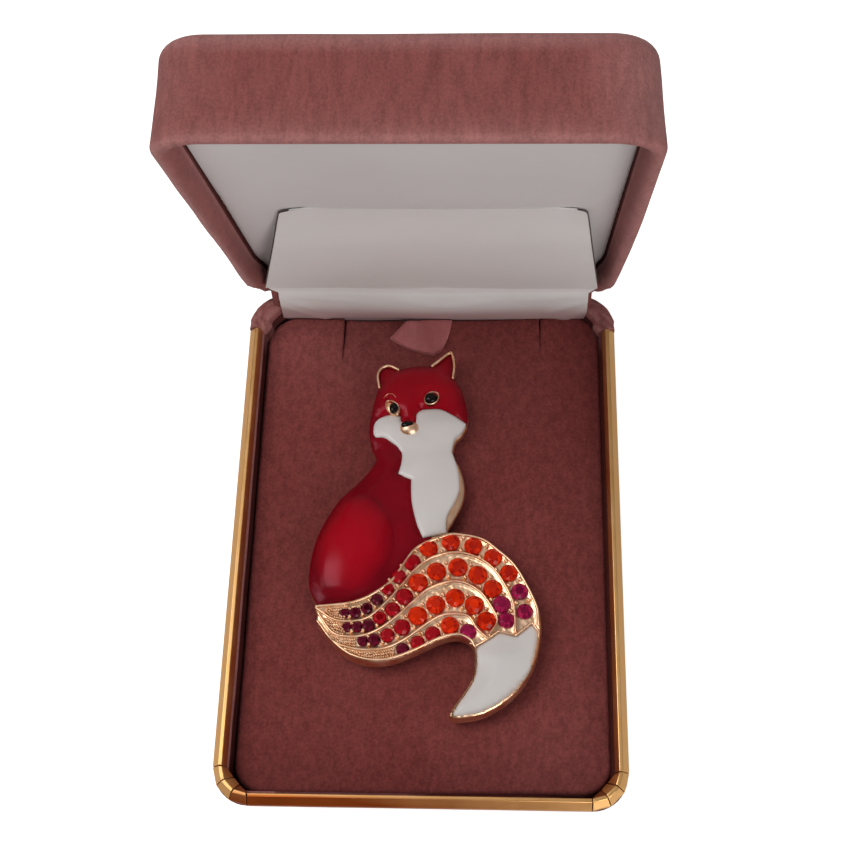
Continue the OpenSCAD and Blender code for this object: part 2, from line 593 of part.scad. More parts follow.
// Everything gold that stands up between the enamels
module gold_shapes() {
  eye_shape(LEFT_EYE);
  eye_shape(RIGHT_EYE);
  nose_shape();
  ear_rims();
}
module rails() {
  offset(delta = fit_gap / 3) for (t = RAILS) polygon(ribbon(drawn(t, false), rail_w));
}
module tail_gap() {
  offset(delta = fit_gap) {
    tail_shape();
    rails();
  }
}
module red_shape() {
  difference() {
    offset(delta = fit_gap / 3) {
      head_shape();
      body_shape();
    }
    offset(delta = fit_gap) white_shape();
  }
}
// A flat shape that rises from inside the plate to height z
module raised(z) {
  translate([0, 0, plate_t / 2]) linear_extrude(z - plate_t / 2) children();
}

// Low mound over a drawn line, from height z, rounded up to its middle
module mound(t, middle, z, rise, inset = 0.04) {
  line = drawn(t);
  c = at(middle);
  foot = 0.3;
  rings = concat(
    [[for (p = line) let (q = p + (c - p) * inset) [q[0], q[1], z - foot]]],
    [for (k = [0:dome_rings - 1])
      let (a = 90 * k / dome_rings)
      [for (p = line) let (q = c + (p - c) * (1 - inset) * pow(cos(a), 0.8)) [q[0], q[1], z + rise * sin(a)]]]
  );
  n = len(line);
  m = len(rings);
  sides = [for (i = [0:m - 2]) for (k = [0:n - 1])
    let (a = i * n + k, d = i * n + (k + 1) % n, b = a + n, e = d + n)
    each [[a, b, e], [a, e, d]]];
  top = [for (k = [0:n - 1]) [(m - 1) * n + k, m * n, (m - 1) * n + (k + 1) % n]];
  bottom = [for (k = [0:n - 1]) [(k + 1) % n, m * n + 1, k]];
  points = concat([for (r = rings) each r], [[c[0], c[1], z + rise], [c[0], c[1], z - foot]]);
  // The lines run clockwise, so the faces are turned over
  polyhedron(points, [for (f = concat(sides, top, bottom)) reverse(f)], convexity = 4);
}

// Where stone i of row r sits, and its diameter
function stone_d(r, i) = lookup(i / (row_count(r) - 1), STONE_ROWS[r][1]);
function stone_steps(r) = [for (i = [0:row_count(r) - 2])
  (stone_d(r, i) + stone_d(r, i + 1)) / 2 + lookup(i / (row_count(r) - 1), STONE_ROWS[r][2])];
function stone_place(r, i) =
  let (line = drawn(STONE_LINES[r], false), steps = stone_steps(r), all = sum(steps, len(steps) - 1))
  along(line, line_length(line) * sum(steps, i - 1) / all);
function stone_kind(r, i) = len([for (k = [0:3]) if (i >= sum(STONE_ROWS[r][0], k)) k]);

module casting() {
  color("#d9a878") on_brooch() difference() {
    union() {
      linear_extrude(plate_t) offset(delta = plate_edge) {
        head_shape();
        body_shape();
        white_shape();
        tail_shape();
        polygon(drawn(LEDGE_LINE));
      }
      raised(tail_top) difference() {
        tail_shape();
        offset(delta = fit_gap) tip_shape();
      }
      raised(tail_top + rail_rise) rails();
      raised(enamel_top + rail_rise) ear_rims();
      raised(eye_top) eye_shape(LEFT_EYE);
      raised(eye_top) eye_shape(RIGHT_EYE);
      raised(nose_top) nose_shape();
    }
    for (s = STONES) stone_seat(s[0], s[1]);
    pupil_space(LEFT_EYE, fit_gap);
    pupil_space(RIGHT_EYE, fit_gap);
    nose_tip_space(fit_gap);
  }
}
module stone_seat(r, i) {
  d = stone_d(r, i);
  depth = pavilion * d + 2 * fit_gap;
  translate([stone_place(r, i)[0], stone_place(r, i)[1], tail_top - depth])
    cylinder(d = d + 2 * fit_gap, h = depth + rail_rise + 1, $fn = 24);
}
module pupil_space(place, grow) {
  depth = 0.6;
  slim = 2 * (grow - eye_rim);
  translate([at(place)[0], at(place)[1], eye_top - depth - grow])
    linear_extrude(depth + 1) polygon(ellipse(eye_w + slim, eye_h + slim));
}
module nose_tip_space(grow) {
  depth = 0.5;
  p = at(NOSE);
  translate([p[0] - nose_w * 0.12, p[1] + nose_h * 0.12, nose_top - depth - grow])
    linear_extrude(depth + 1) polygon(ellipse(nose_w * 0.55 + 2 * grow, nose_h * 0.5 + 2 * grow));
}
module pupil(place) {
  color("#1a0c0c") on_brooch() intersection() {
    pupil_space(place, 0);
    translate([at(place)[0], at(place)[1], 0]) cylinder(d = 2 * eye_h, h = eye_top, $fn = 24);
  }
}
module left_pupil() { pupil(LEFT_EYE); }
module right_pupil() { pupil(RIGHT_EYE); }
module nose_tip() {
  color("#1a0c0c") on_brooch() intersection() {
    nose_tip_space(0);
    translate([at(NOSE)[0], at(NOSE)[1], 0]) cylinder(d = 2 * nose_w, h = nose_top, $fn = 24);
  }
}

module red_enamel() {
  color("#a00a1e") on_brooch() difference() {
    union() {
      translate([0, 0, enamel_z]) linear_extrude(enamel_t) red_shape();
      mound(HAUNCH_LINE, HAUNCH_MIDDLE, enamel_top - 0.1, haunch_rise + 0.1);
      mound(SHOULDER_LINE, SHOULDER_MIDDLE, enamel_top - 0.1, shoulder_rise + 0.1);
      mound(CROWN_LINE, CROWN_MIDDLE, enamel_top - 0.1, head_rise + 0.1);
    }
    linear_extrude(eye_top + 1) offset(delta = fit_gap) gold_shapes();
    linear_extrude(eye_top + 1) tail_gap();
  }
}
module white_enamel() {
  color("#dcd6d0") on_brooch() difference() {
    union() {
      translate([0, 0, enamel_z]) linear_extrude(enamel_t) white_shape();
      mound(CHEEK_LINE, CHEEK_MIDDLE, enamel_top - 0.1, chest_rise + 0.1);
      mound(CHEST_LINE, CHEST_MIDDLE, enamel_top - 0.1, chest_rise + 0.1);
    }
    linear_extrude(nose_top + 1) offset(delta = fit_gap) gold_shapes();
    linear_extrude(nose_top + 1) tail_gap();
  }
}
module tail_tip() {
  color("#dcd6d0") on_brooch() {
    translate([0, 0, enamel_z]) linear_extrude(enamel_t) tip_shape();
    mound(TIP_LINE, TIP_MIDDLE, enamel_top - 0.1, tip_rise + 0.1, 0.06);
  }
}

// The pin fitting on the back: a plate, two posts and the stem between them, in one piece
module pin_back() {
  plate = 0.5;
  post_l = 3;
  post_w = 2;
  post_h = pin_h - plate;
  color("#c49a6c") on_brooch() translate([at(PIN_MIDDLE)[0], at(PIN_MIDDLE)[1], -fit_gap]) {
    translate([-pin_plate_w / 2, -pin_l / 2, -plate]) cube([pin_plate_w, pin_l, plate]);
    for (y = [-pin_l / 2, pin_l / 2 - post_l])
      translate([-post_w / 2, y, -plate - post_h]) cube([post_w, post_l, post_h + plate / 2]);
    translate([0, -pin_l / 2 + 0.5, -pin_h + stem_d / 2 + 0.1]) rotate([-90, 0, 0])
      cylinder(d = stem_d, h = pin_l - 1, $fn = 24);
  }
}

// Round stone with a flat table, a faceted crown and a faceted back
module stone(r, i) {
  d = stone_d(r, i);
  p = stone_place(r, i);
  levels = [[0.12, -pavilion], [1, 0], [table, crown]];
  rings = [for (v = levels) [for (k = [0:stone_sides - 1])
    let (a = 360 * k / stone_sides) [d / 2 * v[0] * cos(a), d / 2 * v[0] * sin(a), d * v[1]]]];
  color(STONE_COLORS[stone_kind(r, i)]) on_brooch() translate([p[0], p[1], tail_top + fit_gap]) stack(rings);
}

base_shell();
rim_band();
pad();
pull_tab();
strip();
hinge_base();
lid_shell();
lid_lining();
flap();
hinge_lid();
casting();
red_enamel();
white_enamel();
tail_tip();
left_pupil();
right_pupil();
nose_tip();
pin_back();
for (s = STONES) stone(s[0], s[1]);
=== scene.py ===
# Fox brooch on the pad of its open, velvet covered presentation box
import math
import random

import bmesh
import bpy
import numpy as np
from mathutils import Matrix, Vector, geometry, noise


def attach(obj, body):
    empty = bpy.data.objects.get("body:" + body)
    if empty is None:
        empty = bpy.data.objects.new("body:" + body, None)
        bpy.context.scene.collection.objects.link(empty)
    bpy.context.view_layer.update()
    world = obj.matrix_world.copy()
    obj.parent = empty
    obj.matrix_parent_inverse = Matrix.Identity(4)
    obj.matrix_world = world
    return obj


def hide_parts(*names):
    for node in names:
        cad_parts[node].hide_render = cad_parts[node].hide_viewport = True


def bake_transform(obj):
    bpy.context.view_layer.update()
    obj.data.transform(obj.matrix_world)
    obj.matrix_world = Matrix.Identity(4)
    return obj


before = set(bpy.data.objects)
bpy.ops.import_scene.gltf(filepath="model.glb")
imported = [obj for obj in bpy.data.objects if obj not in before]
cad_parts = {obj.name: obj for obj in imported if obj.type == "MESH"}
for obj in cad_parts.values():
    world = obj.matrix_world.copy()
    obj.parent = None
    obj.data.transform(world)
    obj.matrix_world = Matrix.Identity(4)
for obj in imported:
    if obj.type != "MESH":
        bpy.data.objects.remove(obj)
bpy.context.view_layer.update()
mm = 0.001
print("frame loaded:", len(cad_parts), "nodes")

# Sizes that several pieces share, in millimetres, the same as in the part's source
box = {"width": 66, "length": 93, "baseHeight": 13.6, "lidHeight": 15, "lidOpen": 70, "lean": 0.075}
halfWidth, hingeY = box["width"] / 2, box["length"] / 2
rimZ = box["baseHeight"] - 0.15
padZ = 8.6

cameraView = {"place": (0.0109, -0.1021, 0.2559), "turn": (26.74, 2.01, 1.42), "lens": 65.94}


def addObject(name, data):
    made = bpy.data.objects.new(name, data)
    bpy.context.scene.collection.objects.link(made)
    return made


def makeCamera(s):
    data = bpy.data.cameras.new("photoCamera")
    data.sensor_width = 36
    data.lens = s["lens"]
    data.clip_start = 0.01
    made = addObject("photoCamera", data)
    made.location = s["place"]
    made.rotation_euler = [math.radians(a) for a in s["turn"]]
    bpy.context.scene.camera = made
    bpy.context.scene.view_settings.view_transform = "Standard"


makeCamera(cameraView)
print("camera set")


# Helpers for materials
class NodeTools:
    # Makes the nodes of one tree. An input is a plain value, or the output of another node
    def __init__(self, tree):
        self.tree = tree

    def add(self, kind, inputs=None, **settings):
        made = self.tree.nodes.new("ShaderNode" + kind)
        for key, value in settings.items():
            setattr(made, key, value)
        self.feed(made, inputs or {})
        return made

    def feed(self, node, inputs):
        for key, value in inputs.items():
            if hasattr(value, "is_output"):
                self.tree.links.new(value, node.inputs[key])
            else:
                node.inputs[key].default_value = value

    def noise(self, vector, scale, detail=3.0, roughness=0.5):
        inputs = {"Vector": vector, "Scale": scale, "Detail": detail, "Roughness": roughness}
        return self.add("TexNoise", inputs).outputs["Fac"]

    def spread(self, value, low, high, toLow=0, toHigh=1):
        inputs = {"Value": value, "From Min": low, "From Max": high, "To Min": toLow, "To Max": toHigh}
        return self.add("MapRange", inputs).outputs["Result"]

    def mix(self, amount, first, second):
        return self.add("Mix", {0: amount, 6: first, 7: second}, data_type="RGBA").outputs[2]

    def math(self, operation, first, second=0.0):
        return self.add("Math", {0: first, 1: second}, operation=operation).outputs[0]

    def plus(self, first, second):
        return self.math("ADD", first, second)

    def times(self, first, second):
        return self.math("MULTIPLY", first, second)

    def vector(self, operation, *inputs):
        return self.add("VectorMath", dict(enumerate(inputs)), operation=operation).outputs[0]

    def scaled(self, colour, amount):
        return self.add("VectorMath", {0: colour, "Scale": amount}, operation="SCALE").outputs[0]

    def place(self):
        return self.add("TexCoord").outputs["Object"]

    def rub(self):
        # How far a place moves to its second colour, from the piece's own points: painted light, shade and reflection,
        # paler pile and pooled enamel
        return self.add("Attribute", attribute_name="rub").outputs["Fac"]


def makeGroup(name, inputs, recipe, outputs=("Color", "Height", "Roughness")):
    # A node group whose recipe takes its tools and inputs, and gives what feeds its outputs
    tree = bpy.data.node_groups.new(name, "ShaderNodeTree")
    kinds = {1: "NodeSocketFloat", 3: "NodeSocketVector", 4: "NodeSocketColor"}
    for key, value in inputs.items():
        kind = kinds[len(value) if isinstance(value, tuple) else 1]
        tree.interface.new_socket(key, in_out="INPUT", socket_type=kind).default_value = value
    for key in outputs:
        tree.interface.new_socket(key, in_out="OUTPUT", socket_type=kinds[4 if key in ("Color", "Glow") else 1])
    given, out = tree.nodes.new("NodeGroupInput").outputs, tree.nodes.new("NodeGroupOutput")
    tools = NodeTools(tree)
    tools.feed(out, dict(zip(outputs, recipe(tools, given))))
    return tree


def velvetPile(n, given):
    # Short velvet pile: brushed streaks, mottling, single tufts, and paler places from the piece's own points, most of
    # them painted sheen and light
    place = n.place()
    streak = n.vector("MULTIPLY", place, given["Nap"])
    patch = n.times(n.spread(n.noise(streak, given["Patch Scale"], 5, 0.65), 0.32, 0.68), given["Patch Amount"])
    base = n.mix(n.rub(), n.mix(patch, given["Shade"], given["Brushed"]), given["Rubbed And Sheen"])
    tuft = n.noise(place, given["Tuft Scale"], 2, 0.7)
    mottle = n.noise(streak, 900, 3, 0.7)
    grain = n.times(n.spread(n.plus(tuft, mottle), 0.75, 1.25, -0.5, 0.5), given["Tuft Amount"])
    return n.scaled(base, n.plus(grain, 1.0)), n.plus(tuft, n.times(mottle, 0.8)), n.spread(patch, 0, 1, 0.98, 0.86)


def satinWeave(n, given):
    # Satin: fine threads across each other, with a soft cloudiness, and painted shade where the piece's own points ask
    # for it
    place = n.place()
    split = n.add("SeparateXYZ", {0: place}).outputs
    across, down = (n.math("SINE", n.times(run, given["Thread Scale"]))
                    for run in (split["X"], n.plus(split["Y"], split["Z"])))
    slub = n.noise(place, 700, 3, 0.6)
    threads = n.plus(n.times(across, down), n.times(slub, 2))
    cloud = n.spread(n.noise(place, 45, 3), 0.3, 0.7)
    base = n.mix(n.rub(), n.mix(cloud, given["Cloth"], given["Shade"]), given["Low"])
    lift = n.spread(threads, -1, 3, 1, n.plus(given["Thread Amount"], 1.0))
    return n.scaled(base, lift), threads, n.spread(slub, 0.3, 0.7, 0.5, 0.62)


def platedWear(n, given):
    # Plated metal: faint smears, pits and paler rubbed places, and a painted dark reflection where the piece's own
    # points ask for it
    place = n.place()
    smear = n.spread(n.noise(place, given["Smear Scale"], 5, 0.6), 0.35, 0.65)
    pits = n.noise(place, given["Pit Scale"], 2, 0.6)
    plated = n.mix(smear, given["Plate"], given["Rubbed And Sheen"])
    return (n.mix(n.rub(), plated, given["Painted Reflection"]), n.plus(pits, smear),
            n.spread(smear, 0, 1, given["Smooth"], given["Rough"]))


def pouredEnamel(n, given):
    # Poured enamel: deeper where it pools, with a faint ripple, and painted light and shade from the piece's own points
    place = n.place()
    pool = n.plus(n.spread(n.noise(place, given["Pool Scale"], 3, 0.5), 0.35, 0.65, -0.1, 0.1), n.rub())
    ripple = n.noise(place, given["Ripple Scale"], 2, 0.4)
    return n.mix(pool, given["Deep"], given["Thin"]), ripple, n.spread(ripple, 0.3, 0.7, 0.16, 0.26)


def cutGlass(n, given):
    # Cut glass over foil: every facet shows its own depth of colour, a painted play of light, and glows faintly with it
    # as painted light
    place = n.place()
    stone = n.vector("MULTIPLY_ADD", place, (40, 40, 40), n.add("NewGeometry").outputs["True Normal"])
    tone = n.spread(n.noise(stone, given["Facet Scale"], 1, 0.5), 0.34, 0.66)
    colour = n.mix(tone, given["Deep"], given["Bright"])
    scratches = n.noise(place, 2400, 2, 0.5)
    return colour, n.scaled(colour, tone), scratches, n.spread(scratches, 0.3, 0.7, 0.05, 0.12)


groups = {
    "pile": makeGroup("velvetPile", {
        "Shade": (0.2, 0.06, 0.06, 1), "Brushed": (0.3, 0.13, 0.13, 1), "Rubbed And Sheen": (0.4, 0.2, 0.2, 1), "Patch Scale": 90,
        "Tuft Scale": 2600, "Patch Amount": 0.4, "Tuft Amount": 0.35, "Nap": (1, 0.25, 0.25)}, velvetPile),
    "weave": makeGroup("satinWeave", {
        "Cloth": (0.5, 0.45, 0.44, 1), "Shade": (0.4, 0.35, 0.34, 1), "Low": (0.4, 0.25, 0.25, 1),
        "Thread Scale": 1500, "Thread Amount": 0.1}, satinWeave),
    "wear": makeGroup("platedWear", {
        "Plate": (0.8, 0.55, 0.3, 1), "Rubbed And Sheen": (0.9, 0.7, 0.5, 1), "Painted Reflection": (0.6, 0.3, 0.12, 1), "Smear Scale": 260,
        "Pit Scale": 3200, "Smooth": 0.18, "Rough": 0.34}, platedWear),
    "enamel": makeGroup("pouredEnamel", {
        "Deep": (0.3, 0.005, 0.02, 1), "Thin": (0.5, 0.01, 0.04, 1), "Pool Scale": 160, "Ripple Scale": 420},
        pouredEnamel),
    "glass": makeGroup("cutGlass", {
        "Deep": (0.3, 0.01, 0.02, 1), "Bright": (0.8, 0.05, 0.02, 1), "Facet Scale": 2.6}, cutGlass,
        ("Color", "Glow", "Height", "Roughness")),
}

# Each finish: the record's slot (none where only CAD solids wear it), the group it uses with its values,
# the strength and depth of its relief, and what goes straight on the shader
# The stones' faint emission is painted light
stoneShine = {"Specular IOR Level": 0.16, "Coat Weight": 0.05, "Coat Roughness": 0.05, "Emission Strength": 0.1}
satinThread = {"Low": (0.44, 0.31, 0.31), "Thread Scale": 14000, "Thread Amount": 0.07}
satinShine = {"Sheen Weight": 0.2, "Sheen Roughness": 0.35, "Specular IOR Level": 0.35}
finishes = {
    "boxVelvet": ("box_velvet", "pile", {"Shade": (0.222, 0.066, 0.062), "Brushed": (0.295, 0.1, 0.096),
                                         "Rubbed And Sheen": (0.38, 0.172, 0.165), "Tuft Amount": 0.4}, (0.5, 0.0003),
                  {"Sheen Weight": 0.2, "Sheen Roughness": 0.45, "Sheen Tint": (0.9, 0.7, 0.68),
                   "Specular IOR Level": 0.1}),
    # A darker copy of the box velvet, as painted shade
    "paintedShadeVelvet": ("box_velvet", "pile", {"Shade": (0.055, 0.013, 0.011), "Brushed": (0.08, 0.022, 0.019),
                                            "Rubbed And Sheen": (0.2, 0.08, 0.08)}, (0.3, 0.0002), {"Specular IOR Level": 0.05}),
    "padVelvet": ("pad_velvet", "pile", {"Shade": (0.178, 0.038, 0.036), "Brushed": (0.22, 0.058, 0.054),
                                         "Rubbed And Sheen": (0.26, 0.08, 0.077), "Patch Scale": 60, "Patch Amount": 0.5,
                                         "Tuft Scale": 2000, "Tuft Amount": 0.5, "Nap": (1, 0.6, 1)}, (0.45, 0.00025),
                  {"Sheen Weight": 0.06, "Sheen Roughness": 0.4, "Sheen Tint": (0.9, 0.7, 0.7),
                   "Specular IOR Level": 0.1}),
    "tabRibbon": ("tab_ribbon", "pile", {"Shade": (0.42, 0.12, 0.125), "Brushed": (0.52, 0.19, 0.2),
                                         "Rubbed And Sheen": (0.62, 0.3, 0.3), "Tuft Amount": 0.2, "Patch Scale": 260},
                  (0.3, 0.0002), {"Sheen Weight": 0.2, "Sheen Roughness": 0.4}),
    "satin": ("satin", "weave", {"Cloth": (0.75, 0.75, 0.745), "Shade": (0.71, 0.705, 0.7), **satinThread},
              (0.1, 0.00006), satinShine),
    # A darker copy of the satin for the lining, as painted shade
    "paintedShadeLiningSatin": ("satin", "weave", {"Cloth": (0.6, 0.585, 0.592), "Shade": (0.57, 0.55, 0.556), **satinThread},
                    (0.1, 0.00006), satinShine),
    "slitShade": ("satin", "weave", {"Cloth": (0.12, 0.09, 0.08), "Shade": (0.07, 0.05, 0.045)}, (0.1, 0.0001),
                  {"Specular IOR Level": 0.05}),
    "bandGold": ("band_gold", "wear", {"Plate": (0.9, 0.52, 0.19), "Rubbed And Sheen": (0.94, 0.58, 0.25),
                                       "Painted Reflection": (0.33, 0.07, 0.012), "Smear Scale": 150, "Smooth": 0.34, "Rough": 0.44},
                 (0.03, 0.00002), {"Metallic": 1.0}),
    "hingeBrass": (None, "wear", {"Plate": (0.55, 0.33, 0.13), "Rubbed And Sheen": (0.66, 0.44, 0.2), "Smooth": 0.3,
                                  "Rough": 0.5}, (0.1, 0.00005), {"Metallic": 1.0}),
    "broochGold": ("brooch_gold", "wear", {"Plate": (0.88, 0.53, 0.3), "Rubbed And Sheen": (0.97, 0.68, 0.47),
                                           "Smear Scale": 500, "Smooth": 0.27, "Rough": 0.42}, (0.06, 0.00003),
                   {"Metallic": 1.0}),
    "redEnamel": ("red_enamel", "enamel", {"Deep": (0.15, 0.001, 0.006), "Thin": (0.375, 0.002, 0.01)}, (0.06, 0.0002),
                  {"Specular IOR Level": 0.2, "Specular Tint": (1, 0.42, 0.55), "Coat Weight": 0.05,
                   "Coat Roughness": 0.2}),
    "whiteEnamel": ("white_enamel", "enamel", {"Deep": (0.66, 0.635, 0.625), "Thin": (0.71, 0.695, 0.69)},
                    (0.04, 0.0002), {"Specular IOR Level": 0.25, "Coat Weight": 0.2, "Coat Roughness": 0.18}),
    "blackEnamel": ("black_enamel", "enamel", {"Deep": (0.004, 0.002, 0.002), "Thin": (0.008, 0.003, 0.003)},
                    (0.03, 0.0001), {"Specular IOR Level": 0.1, "Coat Weight": 0.25, "Coat Roughness": 0.1}),
}
# Slot, dark and bright colour of each kind of stone
stoneColours = {"garnetGlass": ("stone_garnet", (0.035, 0.001, 0.005), (0.15, 0.003, 0.022)),
                "rubyGlass": ("stone_red", (0.2, 0.001, 0.004), (0.42, 0.004, 0.012)),
                "orangeGlass": ("stone_orange", (0.33, 0.004, 0.001), (0.79, 0.034, 0.002)),
                "fuchsiaGlass": ("stone_purple", (0.15, 0.003, 0.03), (0.42, 0.012, 0.08))}
for kind, (slotName, deep, bright) in stoneColours.items():
    finishes[kind] = (slotName, "glass", {"Deep": deep, "Bright": bright}, (0.02, 0.00002), stoneShine)


def withAlpha(node, values):
    # A colour has an alpha of 1 after its three numbers
    return {key: (*value, 1) if node.inputs[key].type == "RGBA" else value for key, value in values.items()}


def makeMaterial(name, groupName, values, relief, plain):
    # A group gives what changes over the surface, and plain values go straight on the shader
    made = bpy.data.materials.new(name)
    made.use_nodes = True
    n = NodeTools(made.node_tree)
    shader = made.node_tree.nodes["Principled BSDF"]
    effect = n.add("Group", node_tree=groups[groupName])
    n.feed(effect, withAlpha(effect, values))
    out = effect.outputs
    bump = n.add("Bump", {"Strength": relief[0], "Distance": relief[1], "Height": out["Height"]})
    n.feed(shader, {"Base Color": out["Color"], "Roughness": out["Roughness"], "Normal": bump.outputs["Normal"]})
    if "Glow" in out:
        n.feed(shader, {"Emission Color": out["Glow"]})
    n.feed(shader, withAlpha(shader, plain))
    return made


materials = {name: makeMaterial(name, *finish[1:]) for name, finish in finishes.items()}
print("materials made:", len(bpy.data.materials))


# Helpers for meshes, all in millimetres
def addPiece(name, shape, finish, body, sharp=None, replaced=(), rub=None, second=None):
    # Second is another finish, with a test of the faces that wear it
    points, faces = shape
    mesh = bpy.data.meshes.new(name)
    mesh.from_pydata([tuple(float(c) * mm for c in p) for p in points], [], [tuple(f) for f in faces])
    mesh.materials.append(materials[finish])
    if rub is not None:
        values = np.zeros(len(points), dtype=np.float32)
        values[:len(rub)] = rub
        mesh.attributes.new("rub", "FLOAT", "POINT").data.foreach_set("value", values)
    if second is not None:
        mesh.materials.append(materials[second[0]])
        mesh.polygons.foreach_set("material_index", [int(second[1](f)) for f in faces])
    form = bmesh.new()
    form.from_mesh(mesh)
    bmesh.ops.recalc_face_normals(form, faces=form.faces)
    for face in form.faces:
        face.smooth = sharp != 0
    if sharp:
        for edge in form.edges:
            if len(edge.link_faces) == 2 and edge.calc_face_angle(0) > math.radians(sharp):
                edge.smooth = False
    form.to_mesh(mesh)
    form.free()
    made = addObject(name, mesh)
    if body:
        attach(made, body)
    if replaced:
        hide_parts(*replaced)
    return made


def joinRings(rings, capStart=True):
    count = len(rings[0])
    points = [p for ring in rings for p in ring]
    faces = []
    for row in range(len(rings) - 1):
        for k in range(count):
            a, b = row * count + k, row * count + (k + 1) % count
            faces.append((a, b, b + count, a + count))
    if capStart:
        faces.append(tuple(range(count - 1, -1, -1)))
    faces.append(tuple(range((len(rings) - 1) * count, len(rings) * count)))
    return points, faces


def joinParts(parts):
    points, faces = [], []
    for somePoints, someFaces in parts:
        shift = len(points)
        points.extend(somePoints)
        faces.extend([tuple(i + shift for i in f) for f in someFaces])
    return points, faces


def edgeDistance(points, outline, closed=True):
    outline = np.asarray(outline, float)
    best = np.full(len(points), 1e9)
    ends = np.roll(outline, -1, axis=0)
    for k in range(len(outline) if closed else len(outline) - 1):
        start, span = outline[k], ends[k] - outline[k]
        share = np.clip(((points - start) @ span) / max(span @ span, 1e-12), 0, 1)
        gap = points - start - share[:, None] * span
        best = np.minimum(best, np.hypot(gap[:, 0], gap[:, 1]))
    return best


def isInside(points, outline):
    inside = np.zeros(len(points), bool)
    for start, end in zip(outline, np.roll(outline, -1, axis=0)):
        crosses = (start[1] > points[:, 1]) != (end[1] > points[:, 1])
        rise = end[1] - start[1]
        x = (end[0] - start[0]) * (points[:, 1] - start[1]) / (rise if abs(rise) > 1e-12 else 1e-12) + start[0]
        inside ^= crosses & (points[:, 0] < x)
    return inside


def signedArea(outline):
    x, y = outline[:, 0], outline[:, 1]
    return 0.5 * float(np.sum(x * np.roll(y, -1) - np.roll(x, -1) * y))


def outwardOf(outline):
    # Unit steps outwards from an anticlockwise outline
    tangent = np.roll(outline, -1, axis=0) - np.roll(outline, 1, axis=0)
    tangent /= np.maximum(np.hypot(tangent[:, 0], tangent[:, 1]), 1e-9)[:, None]
    return np.stack([tangent[:, 1], -tangent[:, 0]], axis=1)


def divided(outline, longest):
    # The same closed outline with no long steps
    made = []
    for p, q in zip(outline, np.roll(outline, -1, axis=0)):
        count = max(int(math.ceil(np.linalg.norm(q - p) / longest)), 1)
        made.extend(p + (q - p) * k / count for k in range(count))
    return np.array(made)


def apart(points, others, least):
    # The points that stay clear of the others
    if not len(points) or not len(others):
        return points
    return points[np.hypot(*(points[:, None] - others[None]).transpose(2, 0, 1)).min(axis=1) > least]


# How outlines are filled, in shares of the spacing, and how clear seams stay of other points, in millimetres
filling = {"longestStep": 1.25, "rowHeight": 0.87, "clearOfEdge": 0.55, "clearOfSeam": 0.4, "seamToEdge": 0.12,
           "seamToRow": 0.07}


def fillOutline(outline, spacing, rows, seams=()):
    # Triangles over an outline, with rows of points along its edge for a round shoulder, and along seams
    outline = np.array(outline, float)
    if signedArea(outline) < 0:
        outline = outline[::-1]
    outline = divided(outline, spacing * filling["longestStep"])
    outward = outwardOf(outline)
    layers = [outline]
    for row in rows:
        candidates = outline - outward * row
        keep = isInside(candidates, outline) & (edgeDistance(candidates, outline) > row * 0.93)
        layers.append(candidates[keep])
    low, high = outline.min(axis=0), outline.max(axis=0)
    grid = np.array([(x, y) for j, y in enumerate(np.arange(low[1], high[1], spacing * filling["rowHeight"]))
                     for x in np.arange(low[0] + (j % 2) * spacing / 2, high[0], spacing)])
    grid = grid[isInside(grid, outline)]
    grid = grid[edgeDistance(grid, outline) > rows[-1] + spacing * filling["clearOfEdge"]]
    for seam in seams:
        kept = seam[isInside(seam, outline)]
        kept = kept[edgeDistance(kept, outline) > filling["seamToEdge"]]
        layers = [layers[0]] + [apart(layer, kept, filling["seamToRow"]) for layer in layers[1:]] + [kept]
        grid = apart(grid, kept, spacing * filling["clearOfSeam"])
    everything = np.vstack(layers + [grid])
    loop = [(k, (k + 1) % len(outline)) for k in range(len(outline))]
    found = geometry.delaunay_2d_cdt([Vector(p) for p in everything], loop, [], 1, 1e-6)
    return np.array([(v[0], v[1]) for v in found[0]]), [tuple(f) for f in found[2]], outline


def relax(height, faces, rounds, pinned):
    # Evens out the heights without moving the pinned points
    links = dict.fromkeys(tuple(sorted((face[k], face[(k + 1) % 3]))) for face in faces for k in range(3))
    pairs = np.array(list(links))
    degree = np.bincount(pairs.ravel(), minlength=len(height)).astype(float)
    for _ in range(rounds):
        total = sum(np.bincount(pairs[:, a], weights=height[pairs[:, 1 - a]], minlength=len(height)) for a in (0, 1))
        height = np.where(pinned, height, 0.5 * height + 0.5 * total / np.maximum(degree, 1))
    return height


def platePiece(outline, spacing, rows, topOf, bottom, skirt=((0, 0.5), (0, 1)), rounds=0, seams=(), fixed=None):
    # A closed plate under a height function: its top, a skirt down its side and its underside
    flat, faces, outline = fillOutline(outline, spacing, rows, seams)
    depth = edgeDistance(flat, outline)
    height = topOf(flat[:, 0], flat[:, 1], depth)
    if rounds:
        pinned = depth < 1e-4
        if fixed is not None:
            pinned |= isInside(flat, fixed)
        height = relax(height, faces, rounds, pinned)
    used = dict.fromkeys((face[k], face[(k + 1) % 3]) for face in faces for k in range(3))
    rim = {a: b for a, b in used if (b, a) not in used}
    loop = [next(iter(rim))]
    while rim[loop[-1]] != loop[0] and len(loop) <= len(rim):
        loop.append(rim[loop[-1]])
    points = [(p[0], p[1], h) for p, h in zip(flat, height)]
    around = np.array([flat[i] for i in loop])
    outward = outwardOf(around)
    previous = loop
    for flare, share in skirt:
        current = list(range(len(points), len(points) + len(loop)))
        for k, i in enumerate(loop):
            n = (k + 1) % len(loop)
            points.append((*(around[k] + outward[k] * flare), height[i] + (bottom - height[i]) * share))
            faces.append((previous[k], previous[n], current[n], current[k]))
        previous = current
    faces.append(tuple(reversed(previous)))
    return (points, faces), (flat, height)


